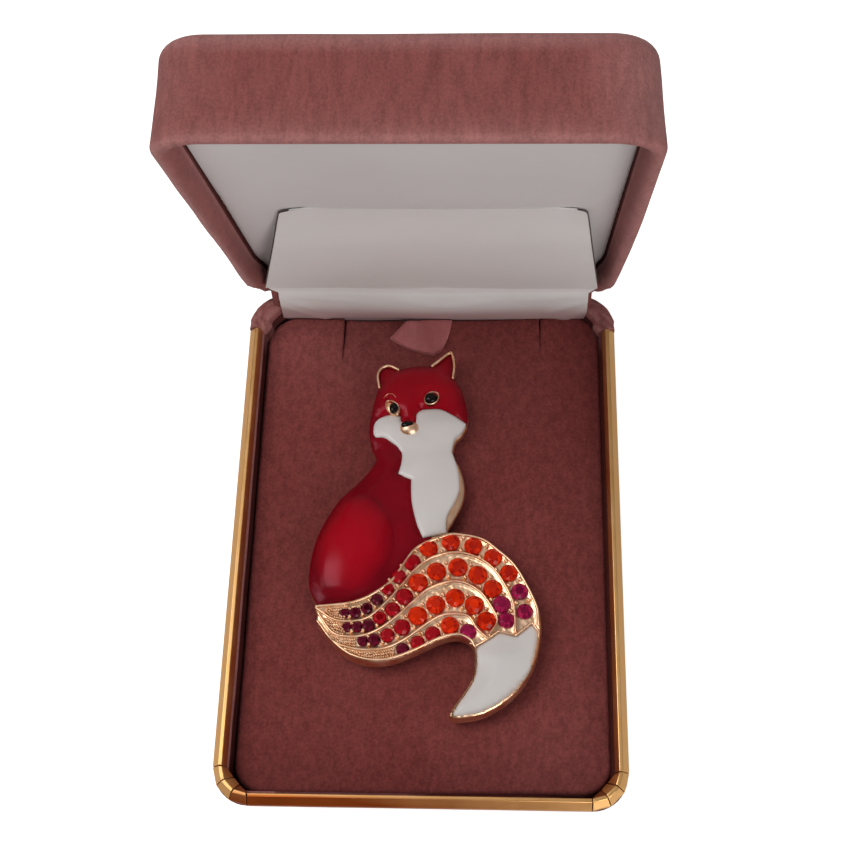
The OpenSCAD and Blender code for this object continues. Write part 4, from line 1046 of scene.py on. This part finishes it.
def dress(finish, *nodeNames):
    # A finish for CAD solids that stay visible
    for nodeName in nodeNames:
        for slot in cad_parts[nodeName].material_slots:
            slot.material = materials[finish]


makeHingeCloth(hingeCloth)
dress("hingeBrass", "hinge_base", "hinge_lid")
print("satin made")

# The brooch: its size and place on the pad, and the heights of its enamel and its tail
broochPlace = {"width": 39, "height": 67, "left": 0.3, "back": 1.5, "base": 10.26}
enamelTop = 2.43
tailTop = 3.0

# Drawn lines: share of the width from the middle, share of the height from the tail's tip, 1 at a corner
outlines = {
    "red": [(-25.6, 80), (-24.6, 83.6), (-23.6, 86.3), (-22.4, 89.6), (-23.5, 92.8), (-21.5, 95.1),
            (-18, 95.8), (-13.6, 94.6, 1), (-5, 95.7), (1, 95.6, 1), (9.2, 99.9), (11, 99.2),
            (12.1, 95.4), (11.5, 91.9, 1), (14.6, 89), (16.9, 85), (18.2, 80.6), (17.3, 78.2, 1),
            (9.5, 76), (6.5, 69), (5, 59.7), (2.6, 43.3, 1), (-15.4, 30), (-44.6, 28.1, 1), (-48.5, 32.4),
            (-49, 37.6), (-47.4, 44.3), (-43.6, 50.4), (-37.4, 56.7), (-28.2, 62.4), (-22.4, 67.6),
            (-24.1, 70.8), (-25.6, 74.4), (-26, 77.4)],
    "white": [(-12.6, 80.9), (-18.7, 80.7), (-23.1, 79), (-24.1, 76.2), (-22.8, 74.5), (-18.5, 74.2),
              (-11, 70), (-12.3, 64, 1), (-6.4, 62.4, 1), (-5.9, 56.3), (-3.3, 50), (-0.5, 46.3, 1),
              (9.7, 47.8, 1), (9.7, 52.2), (13.3, 57), (14.9, 60.4), (14.1, 65.4), (11.3, 70.4, 1),
              (12.3, 74), (15.4, 76.1), (17.4, 78.5, 1), (10.8, 81.2), (5.1, 82.8), (-2.6, 82.5, 1),
              (-4.9, 81.2), (-5.6, 78.5), (-11.3, 78.8)],
    "tail": [(-45.6, 27.5, 1), (-41.5, 27.7), (-31, 28.7), (-21.8, 30.8), (-12.8, 35), (-7.4, 39.9),
             (-2.1, 43.8), (9.5, 46.9), (15.1, 47.2), (25.1, 46), (32.3, 42.9), (39.5, 38.9),
             (45.1, 33.2), (49.2, 27.7), (50.3, 22.9), (49.2, 17.5), (46.4, 12), (41.5, 7.4),
             (34.6, 3.5), (25.6, 0.6), (17.9, -0.3), (13.6, -0.3), (12.3, 0.8), (16.7, 4.7), (21, 8.9),
             (22.6, 13.3), (21.5, 18), (15.9, 20), (8.2, 19.2), (-2.1, 16.2), (-12.3, 13.8),
             (-20.8, 13.3), (-29.7, 14.7), (-37.2, 18), (-44.1, 22.9, 1)],
    "tip": [(22.8, 17.7, 1), (27.7, 19.5), (32.3, 21.5, 1), (39.5, 20.5, 1), (46.2, 23.8, 1),
            (48.7, 21.4), (48.2, 17.5), (45.6, 12), (40.8, 7.7), (33.8, 3.9), (25.1, 1.2),
            (17.9, 0.2), (14.1, 0.3), (13.6, 1.1), (17.4, 4.7), (21.8, 8.9), (23.3, 13.3)],
    "ledge": [(11.3, 70.4, 1), (15, 66.5), (17.2, 61.5), (16.6, 57), (13.5, 52.8), (9.7, 48.4, 1), (5, 58)],
}
rails = [
    [(-44.8, 27.2), (-31, 28.2), (-21.8, 30.4), (-13, 34.4), (-7.6, 39.4), (-2.1, 43.4), (9.5, 46.4),
     (15.1, 46.7), (25, 45.5), (32, 42.5), (39, 38.6), (44.5, 33), (48.4, 27.7), (49.2, 23.2)],
    [(-45, 26.8), (-37.7, 24), (-31.3, 23.4), (-23.6, 24.3), (-16.7, 27.6), (-10, 32.2), (-3.1, 37.4),
     (3.8, 40.5), (13.1, 41.9), (22.3, 40.8), (29.5, 38), (35.1, 33.2), (38.7, 28), (39.5, 21.2)],
    [(-44.1, 25.6), (-37.4, 20.5), (-30.3, 19.5), (-23.3, 20.1), (-16.4, 22.2), (-9.5, 25.5), (-4.1, 28.6),
     (2.8, 32.3), (11.3, 34.1), (18.2, 33.7), (24.6, 31.4), (29, 27.9), (31.8, 24.1), (28.4, 20.2)],
    [(-44.1, 23.5), (-37.2, 18.5), (-30, 16.7), (-21.5, 16.2), (-13.3, 17.1), (-5.9, 19.5), (1, 22.6),
     (7.9, 25.2), (14.9, 25.6), (20, 24.9), (23.3, 21.9), (27.7, 19.6)],
    [(-43.3, 23), (-37, 18.4), (-29.6, 15.1), (-20.8, 13.7), (-12.3, 14.2), (-2.1, 16.6), (8, 19.6),
     (15.7, 20.4), (20.8, 19), (22.4, 17.4)],
]
stoneLines = [
    [(-32.9, 25.7), (-28.4, 25.8), (-23.9, 26.8), (-19.3, 29.3), (-14.8, 32), (-9.8, 35.8), (-4.9, 39), (2, 42.9),
     (12.2, 44.8), (21.9, 43.6), (30.5, 40.5), (36.9, 36.4), (41.1, 31.9), (43.4, 26.6)],
    [(-31.5, 22), (-22.8, 22.4), (-17.8, 24.5), (-12.7, 26.6), (-8.3, 29.5), (-3, 33.3), (4, 36.4), (13.4, 38.2),
     (22.8, 36.3), (29.8, 32.4), (33.8, 28.1), (35.6, 24.3)],
    [(-24.6, 18.5), (-19.7, 18.9), (-15.4, 19.7), (-9, 21.8), (-3, 24.7), (4.5, 27.7), (13.1, 30), (21.6, 28.4),
     (27.1, 24.1)],
    [(-7.6, 16.5), (-1.3, 18.3), (4.9, 20.6), (12, 22.8), (19.6, 21.2)],
]


def at(p):
    # Point of the brooch, in millimetres, from a row of a table
    return np.array([p[0] / 100 * broochPlace["width"] - broochPlace["left"],
                     (p[1] / 100 - 0.5) * broochPlace["height"] + broochPlace["back"]])


def drawn(table, closed=True, steps=6):
    return drawnLine(table, at, closed, steps)


def openLine(table, gap):
    # An open line through the rows of a table, with even steps
    line = drawn(table, closed=False)
    run = np.concatenate([[0], np.cumsum(np.linalg.norm(np.diff(line, axis=0), axis=1))])
    stops = np.linspace(0, run[-1], max(int(run[-1] / gap), 2) + 1)
    return paired(np.interp(stops, run, line[:, 0]), np.interp(stops, run, line[:, 1]))


def wire(line, level, width, height, sides=10):
    return tubeAlong([(x, y, level) for x, y in line], width, height, sides)


def addToBrooch(name, parts, finish, **settings):
    points, faces = joinParts(parts)
    lifted = [(x, y, z + broochPlace["base"]) for x, y, z in points]
    return addPiece(name, (lifted, faces), finish, "base", **settings)


def cleaned(outline, least=0.05):
    # Drops points that lie almost on the one before
    kept = [outline[0]]
    for p in outline[1:]:
        if np.linalg.norm(p - kept[-1]) > least:
            kept.append(p)
    if np.linalg.norm(kept[0] - kept[-1]) <= least:
        kept.pop()
    return np.array(kept)


def grown(outline, amount):
    # The outline moved outwards
    if signedArea(outline) < 0:
        outline = outline[::-1]
    return outline + outwardOf(outline) * amount


shapes = {name: cleaned(drawn(table)) for name, table in outlines.items()}

# Gold back plate under each form
plate = {"edges": {"red": 0.04, "white": 0.25, "ledge": 0.0, "tail": 0.02}, "thickness": 1.4, "round": 0.35}


def makePlate(s):
    def topOf(x, y, depth):
        return s["thickness"] - s["round"] * (1 - np.clip(depth / s["round"], 0, 1)) ** 2
    parts = [platePiece(grown(shapes[name], edge), 1.6, (0.12, 0.35), topOf, 0.05,
                        skirt=((0.04, 0.4), (0.0, 0.85), (-0.15, 1)))[0] for name, edge in s["edges"].items()]
    addToBrooch("goldPlate", parts, "broochGold", sharp=60, replaced=["casting"])


makePlate(plate)

# Gold body of the tail, hollowed between its wires, and lower under the white tip
tailBody = {"round": 0.4, "hollow": 0.3, "reach": 0.55, "underTip": 0.6, "grain": 0.09, "fineGrain": 0.05}
railPaths = [openLine(table, 0.3) for table in rails]


def makeTailBody(s):
    def topOf(x, y, depth):
        flat = paired(x, y)
        z = tailTop - s["round"] * (1 - np.clip(depth / s["round"], 0, 1)) ** 2
        toWire = np.minimum.reduce([edgeDistance(flat, path, closed=False) for path in railPaths])
        hollow = s["hollow"] * smoothStep(toWire, 0.15, s["reach"]) * smoothStep(depth, 0.3, 0.8)
        grain = s["grain"] * softNoise(x, y, 2.2, 1.0) + s["fineGrain"] * softNoise(x, y, 5.0, 4.0)
        return np.where(isInside(flat, shapes["tip"]), enamelTop - s["underTip"], z - hollow + grain)

    shape, _ = platePiece(shapes["tail"], 0.3, (0.12, 0.3), topOf, 0.6, skirt=((0.05, 0.5), (0.1, 1)),
                          seams=[shapes["tip"], grown(shapes["tip"], -0.1)])
    addToBrooch("goldTail", [shape], "broochGold", sharp=60)


makeTailBody(tailBody)

# Raised wires between the rows of stones, and the saw-toothed edge between the stones and the white tip
railLook = {"width": 0.42, "height": 0.6, "rise": 0.14, "outer": 1.15,
            "teeth": [(20.6, 18.2, 1), (22.8, 17.7, 1), (27.7, 19.5), (32.3, 21.5, 1), (39.5, 20.5, 1), (46.2, 23.8, 1),
                      (48.9, 21.6, 1)]}


def makeRails(s):
    parts = [wire(line, tailTop + s["rise"], s["width"] * (s["outer"] if index in (0, 4) else 1), s["height"])
             for index, line in enumerate(railPaths)]
    parts.append(wire(openLine(s["teeth"], 0.2), tailTop - 0.1, 0.34, 0.6))
    addToBrooch("goldRails", parts, "broochGold", sharp=60)


makeRails(railLook)

# Gold rims of the ears
earRims = {"width": 0.5, "height": 0.7,
           "left": [(-22.2, 88.9), (-23.1, 92.6), (-21.2, 94.8), (-18, 95.4), (-13.9, 94.3)],
           "right": [(1.6, 95.5), (9.2, 99.3), (10.7, 98.9), (11.7, 95.4), (11.2, 91.9)]}


def makeEarRims(s):
    parts = [wire(openLine(s[side], 0.2), enamelTop + 0.1, s["width"], s["height"]) for side in ("left", "right")]
    addToBrooch("goldEarRims", parts, "broochGold")


makeEarRims(earRims)
print("gold of the brooch made")

# Red enamel: head, body and haunch in one flowing surface
redLook = {"edge": 0.45, "crown": 0.3, "haunch": 1.75, "shoulder": 0.5, "head": 0.95, "muzzle": 0.32, "sink": 0.35,
           # Lines, widths and heights: two brows, the hollows of the ears, and the neck under the chin
           "ridges": [([(-20, 86.6), (-15, 86.9), (-11.5, 85.4)], 0.5, 0.1),
                      ([(-3, 88.3), (3, 89.1), (8, 87.4)], 0.8, 0.16),
                      ([(-18.3, 93.4), (-19.3, 90.6)], 1.2, -0.45), ([(7.8, 97.0), (8, 93.2)], 1.2, -0.55),
                      ([(-26, 71.8), (-20, 71.4), (-13, 68.9)], 0.8, -0.3)]}


def ridge(x, y, points, width, height):
    # A soft rise along a line
    return height * bell(edgeDistance(paired(x, y), [at(p) for p in points], closed=False), width)


def hump(x, y, centre, radii, height, turn=0.0, power=1.0):
    # An egg-shaped rise
    a = math.radians(turn)
    centre = at(centre)
    dx, dy = x - centre[0], y - centre[1]
    u = (dx * math.cos(a) + dy * math.sin(a)) / radii[0]
    v = (-dx * math.sin(a) + dy * math.cos(a)) / radii[1]
    return height * np.clip(1 - u * u - v * v, 0, 1) ** power


def redTop(x, y, depth):
    s = redLook
    flat = paired(x, y)
    beside = smoothStep(edgeDistance(flat, shapes["white"]), 0, 1.6)
    z = enamelTop - s["edge"] * (1 - np.clip(depth / 1.1, 0, 1)) ** 2
    z = z + s["crown"] * smoothStep(depth, 0, 3.0) * (0.4 + 0.6 * beside)
    z = z + hump(x, y, (-31.3, 43.2), (6.75, 9.6), s["haunch"], -14, 0.6) * smoothStep(depth, -0.6, 2.4)
    z = z + ridge(x, y, [(-13, 67), (-18.5, 62), (-24.5, 57.5)], 1.5, s["shoulder"]) * (0.3 + 0.7 * beside)
    z = z + hump(x, y, (-4.5, 86.8), (8.8, 6.6), s["head"], 6) * (0.45 + 0.55 * beside)
    z = z + ridge(x, y, [(-5.5, 88.5), (-7, 83.5), (-7.9, 79)], 1.5, s["muzzle"]) * smoothStep(y, 19.2, 21.5)
    for line, width, height in s["ridges"]:
        z = z + ridge(x, y, line, width, height)
    return np.where(isInside(flat, shapes["white"]), enamelTop - s["sink"], z)


def makeRed():
    seam = divided(shapes["white"], 0.3)
    shape, whole = platePiece(shapes["red"], 0.42, (0.1, 0.25, 0.5, 0.85), redTop, 1.35, rounds=5,
                              seams=[seam, grown(seam, -0.12)], fixed=shapes["white"])
    # Painted light and shade: the haunch and the brow are painted brighter, and the lower right of the body and the
    # edges darker, where the enamel also pools deeper
    x, y = whole[0][:, 0], whole[0][:, 1]
    tone = 0.17 + 0.83 * hump(x, y, (-31, 44), (6.6, 8.6), 1, -14, 0.55)
    tone = tone * (1 - 0.35 * smoothStep(-y, 4.5, 10) * smoothStep(x, -12, -8))
    tone = np.where(y > 17, 0.44 + 0.25 * hump(x, y, (-4.5, 86.8), (7.5, 5.5), 1, power=0.5), tone)
    tone = tone * (0.25 + 0.75 * smoothStep(edgeDistance(whole[0], shapes["red"]), 0.1, 2.0))
    addToBrooch("redEnamel", [shape], "redEnamel", sharp=75, replaced=["red_enamel"], rub=tone)
    return whole


redSurface = makeRed()

# White enamel of the face and chest, and of the tail's tip
whiteLook = {"edge": 0.3, "lift": 0.16, "chest": 0.5, "cheek": 0.3, "tip": 0.85}


def shoulder(depth, rise, width):
    s = whiteLook
    edge = s["edge"] * (1 - np.clip(depth / 0.45, 0, 1)) ** 2
    return enamelTop + s["lift"] - edge + rise * (1 - bell(depth, width))


def whiteTop(x, y, depth):
    z = shoulder(depth, whiteLook["chest"], 2.4)
    z = z + hump(x, y, (-15, 77.5), (3.0, 2.2), 0.2) + hump(x, y, (6.5, 78), (4.2, 3.0), whiteLook["cheek"])
    return z - ridge(x, y, [(-9, 71.5), (-4, 70.2), (4, 70.2), (10, 71.5)], 0.9, 0.16)


def makeWhite():
    for name, outline, topOf, bottom, node in (
            ("whiteEnamel", shapes["white"], whiteTop, 1.35, "white_enamel"),
            ("whiteTip", shapes["tip"], lambda x, y, depth: shoulder(depth, whiteLook["tip"], 2.8), 1.0, "tail_tip")):
        shape, _ = platePiece(outline, 0.42, (0.1, 0.25, 0.5), topOf, bottom, rounds=8)
        addToBrooch(name, [shape], "whiteEnamel", sharp=75, replaced=[node])


makeWhite()
print("enamels made")


def redHeight(place):
    flat, height = redSurface
    near = np.argsort(np.hypot(flat[:, 0] - place[0], flat[:, 1] - place[1]))[:4]
    return float(height[near].mean())


# Eyes and nose, placed in millimetres from the middle of the box
face = {
    "leftPupil": {"place": (-6.4, 23.15), "long": 1.6, "wide": 1.02, "turn": -52, "pupil": (0.2, -0.05),
                  "pupilRadii": (0.78, 1.1), "fill": "gold", "node": "left_pupil"},
    "rightPupil": {"place": (0.42, 24.95), "long": 1.4, "wide": 1.1, "turn": 42, "pupil": (-0.16, 0.08),
                   "pupilRadii": (1.08, 0.98), "fill": "black", "node": "right_pupil"},
    "nose": {"place": (-3.4, 19.45), "radii": (1.85, 1.5), "base": 2.1, "height": 1.6,
             "tip": (-0.3, 0.42), "tipRadii": (1.12, 0.72), "tipTurn": 6},
    "wire": 0.24, "wireHeight": 0.34, "swell": 0.38, "pupilHeight": 0.62,
    "brow": [(-19.9, 85.4), (-18.0, 86.4), (-15.6, 86.2), (-14.3, 85.2)],
}


def almond(centre, lengthwise, wide, turn, count=40):
    # The outline of an eye, pointed a little at both ends
    angles = [2 * math.pi * k / count for k in range(count)]
    return np.array([turned(centre, lengthwise * math.cos(b), wide * math.sin(b) * abs(math.sin(b)) ** 0.25,
                            math.radians(turn)) for b in angles])


def makeFace(s):
    gold = []
    for name in ("leftPupil", "rightPupil"):
        e = s[name]
        loop = almond(e["place"], e["long"], e["wide"], e["turn"])
        z = max(redHeight(p) for p in loop[::4]) - 0.12
        filled, _ = platePiece(loop, 0.25, (0.1,), lambda x, y, depth: z - 0.1 + s["swell"] * (1 - bell(depth, 0.7)),
                               z - 0.8)
        gold.append(wire(np.vstack([loop, loop[:3]]), z + 0.1, s["wire"], s["wireHeight"], 8))
        black = [dome((*np.add(e["place"], e["pupil"]), z), e["pupilRadii"], s["pupilHeight"])]
        (gold if e["fill"] == "gold" else black).append(filled)
        addToBrooch(name, black, "blackEnamel", replaced=[e["node"]])
    n = s["nose"]
    gold.append(dome((*n["place"], n["base"]), n["radii"], n["height"], rings=9, sides=32))
    # A thin gold line over the left eye
    brow = [(x, y, redHeight((x, y)) - 0.05) for x, y in openLine(s["brow"], 0.15)]
    gold.append(tubeAlong(brow, 0.1, 0.16, 8))
    addToBrooch("goldFace", gold, "broochGold", sharp=50)
    centre = (*np.add(n["place"], n["tip"]), n["base"] + n["height"] * 0.72)
    tip = dome(centre, n["tipRadii"], s["pupilHeight"], math.radians(n["tipTurn"]))
    addToBrooch("noseTip", [tip], "blackEnamel", replaced=["nose_tip"])


makeFace(face)
print("face made")

# Stones in four rows, cut by these shares of their size or radius
stoneCut = {"table": 0.52, "crown": 0.2, "pavilion": 0.3, "grow": 1.06, "middle": 0.82, "lower": 0.5, "step": 0.55}
# How many of each kind a row has, and its sizes and gaps at shares of its length
stoneRows = [
    {"counts": (4, 3, 5, 2), "sizes": [(0, 1.7), (0.3, 2), (0.5, 2.9), (0.8, 2.9), (1, 2.5)],
     "gaps": [(0, 0.1), (0.5, 1), (1, 1)]},
    {"counts": (3, 3, 5, 2), "sizes": [(0, 1.6), (0.3, 2.3), (0.5, 3.1), (0.8, 3.1), (1, 2.6)],
     "gaps": [(0, 0.1), (0.6, 1), (1, 0.2)]},
    {"counts": (2, 2, 5, 0), "sizes": [(0, 1.7), (0.3, 2.4), (0.5, 3.1), (1, 3)],
     "gaps": [(0, 0.15), (0.5, 0.6), (1, 0.5)]},
    {"counts": (1, 2, 1, 1), "sizes": [(0, 2.1), (0.5, 2.5), (0.8, 3), (1, 2.6)], "gaps": [(0, 0.3), (1, 0.3)]},
]


def stonePlaces():
    # Every stone: its node, finish, row, place and diameter
    found = []
    for r, row in enumerate(stoneRows):
        line = drawn(stoneLines[r], closed=False, steps=3)
        kinds = [kind for kind, n in zip(stoneColours, row["counts"]) for _ in range(n)]
        last = len(kinds) - 1
        sizes = [float(np.interp(i / last, *zip(*row["sizes"]))) for i in range(last + 1)]
        steps = [(sizes[i] + sizes[i + 1]) / 2 + float(np.interp(i / last, *zip(*row["gaps"]))) for i in range(last)]
        lengths = np.concatenate([[0], np.cumsum(np.linalg.norm(np.diff(line, axis=0), axis=1))])
        stops = np.concatenate([[0], np.cumsum(steps)]) / sum(steps) * lengths[-1]
        for i, place in enumerate(paired(np.interp(stops, lengths, line[:, 0]), np.interp(stops, lengths, line[:, 1]))):
            found.append({"node": "row%d_stone%02d" % (r + 1, i + 1), "finish": kinds[i], "row": r,
                          "place": place, "size": sizes[i]})
    return found


def cutStone(place, size, turn, tilt):
    # Brilliant cut: table, stars, kites and girdle facets above, mains and halves below
    s = stoneCut
    size = size * s["grow"]
    r = size / 2
    points, faces = [], []

    def ring(count, radius, height, offset):
        first = len(points)
        for k in range(count):
            a = 2 * math.pi * (k + offset) / count + turn
            x, y = radius * math.cos(a), radius * math.sin(a)
            points.append((place[0] + x, place[1] + y, tailTop + height + x * tilt[0] + y * tilt[1]))
        return first

    top = ring(8, r * s["table"], size * s["crown"], 0)
    middle = ring(8, r * s["middle"], size * s["crown"] * s["step"], 0.5)
    girdle = ring(16, r, 0, 0)
    lower = ring(8, r * s["lower"], -size * s["pavilion"] * s["step"], 0.5)
    culet = ring(1, 0, -size * s["pavilion"], 0)
    faces.append(tuple(range(top, top + 8)))
    for k in range(8):
        n = (k + 1) % 8
        a, b, c = girdle + 2 * k, girdle + 2 * k + 1, girdle + (2 * k + 2) % 16
        faces += [(top + k, middle + k, top + n), (top + n, middle + k, c, middle + n), (middle + k, a, b),
                  (middle + k, b, c), (a, lower + k, b), (b, lower + k, c), (c, lower + k, culet, lower + n)]
    return points, faces


def makeStones():
    random.seed(11)
    stones = stonePlaces()
    for finish, (slotName, _, _) in stoneColours.items():
        parts, nodes = [], []
        for one in stones:
            if one["finish"] == finish:
                tilt = (random.uniform(-0.05, 0.05), random.uniform(-0.05, 0.05))
                parts.append(cutStone(one["place"], one["size"], random.uniform(0, 0.8), tilt))
                nodes.append(one["node"])
        addToBrooch(slotName.replace("stone_", "stones_"), parts, finish, sharp=0, replaced=nodes)
    return stones


stones = makeStones()

# Beads that hold the stones, and the grains at the narrow end of the tail
beads = {"radius": 0.35, "grain": 0.22, "offset": 0.78, "step": 0.2, "edge": 0.5, "pitch": 0.42, "jitter": 0.04,
         # Where the grains between two wires start and end, in millimetres along them
         "grains": [(2.0, 5.5), (2.5, 6.5), (3.5, 8.5), (4.0, 15.0)]}


def bead(place, radius, rings=5, sides=10):
    return dome(place, (radius, radius), radius, rings=rings, sides=sides, low=-60, least=0.02)


def makeBeads(s):
    random.seed(4)
    parts = []
    for one, two in zip(stones, stones[1:]):
        if one["row"] != two["row"]:
            continue
        middle = (one["place"] + two["place"]) / 2
        along = two["place"] - one["place"]
        across = np.array([-along[1], along[0]]) / np.linalg.norm(along)
        offset = (one["size"] + two["size"]) / 4 * s["offset"]
        for sign in (-1, 1):
            place = (*(middle + across * sign * offset), tailTop + 0.12)
            parts.append(bead(place, s["radius"] * random.uniform(0.85, 1.15)))
    # Rows of grains between the wires, left of the first stones
    wires = [openLine(table, s["step"]) for table in rails]
    for upper, lower, (start, end) in zip(wires, wires[1:], s["grains"]):
        for k in range(int(start / s["step"]), int(end / s["step"]), 2):
            a, b = upper[k], lower[min(k, len(lower) - 1)]
            rows = max(int((np.linalg.norm(b - a) - s["edge"]) / s["pitch"]), 0)
            for j in range(rows):
                p = a + (b - a) * (j + 1) / (rows + 1)
                place = (*(c + random.uniform(-s["jitter"], s["jitter"]) for c in p), tailTop + 0.02)
                parts.append(bead(place, s["grain"] * random.uniform(0.8, 1.2), 4, 8))
    addToBrooch("goldBeads", parts, "broochGold")


makeBeads(beads)
dress("broochGold", "pin_back")
print("stones made:", len(stones))

# Floor, lights and surroundings
stageLook = {"floor": (0.9, 0.895, 0.89, 1), "reach": 3.0, "glow": 0.85, "strength": 0.3,
             "low": (0.61, 0.44, 0.4, 1), "high": (0.92, 0.92, 0.93, 1)}
lights = {
    "key": {"place": (-0.26, 0.0, 0.5), "aim": (0, 0, 0.01), "size": 0.3, "energy": 1.3, "color": (1, 0.98, 0.95)},
    "side": {"place": (-0.5, -0.06, 0.36), "aim": (0, 0, 0.01), "size": 0.2, "energy": 0.25, "color": (1, 0.97, 0.95)},
    "front": {"place": (0.38, -0.6, 0.3), "aim": (0, 0.02, 0.04), "size": 0.4, "energy": 2.3, "color": (1, 0.98, 0.96)},
}


def makeStage(s):
    mesh = bpy.data.meshes.new("floor")
    r = s["reach"]
    mesh.from_pydata([(-r, -r, 0), (r, -r, 0), (r, r, 0), (-r, r, 0)], [], [(0, 1, 2, 3)])
    floor = addObject("floor", mesh)
    made = bpy.data.materials.new("paleFloor")
    made.use_nodes = True
    n = NodeTools(made.node_tree)
    # Only the camera sees the floor this pale, so that it doesn't light the box from below
    glow = n.times(n.add("LightPath").outputs["Is Camera Ray"], s["glow"])
    n.feed(made.node_tree.nodes["Principled BSDF"], {"Base Color": s["floor"], "Roughness": 0.8,
                                                     "Emission Color": s["floor"], "Emission Strength": glow})
    mesh.materials.append(made)
    world = bpy.data.worlds.new("studio")
    world.use_nodes = True
    n = NodeTools(world.node_tree)
    split = n.add("SeparateXYZ", {0: n.add("TexCoord").outputs["Generated"]})
    colour = n.mix(n.spread(split.outputs["Z"], 0.0, 0.8), s["low"], s["high"])
    n.feed(world.node_tree.nodes["Background"], {"Color": colour, "Strength": s["strength"]})
    bpy.context.scene.world = world


def makeLights(table):
    for name, s in table.items():
        data = bpy.data.lights.new(name, "AREA")
        data.shape = "SQUARE"
        for key in ("size", "energy", "color"):
            setattr(data, key, s[key])
        lamp = addObject(name, data)
        lamp.location = s["place"]
        lamp.rotation_euler = (Vector(s["aim"]) - Vector(s["place"])).to_track_quat("-Z", "Y").to_euler()


makeStage(stageLook)
makeLights(lights)
print("stage and lights made")
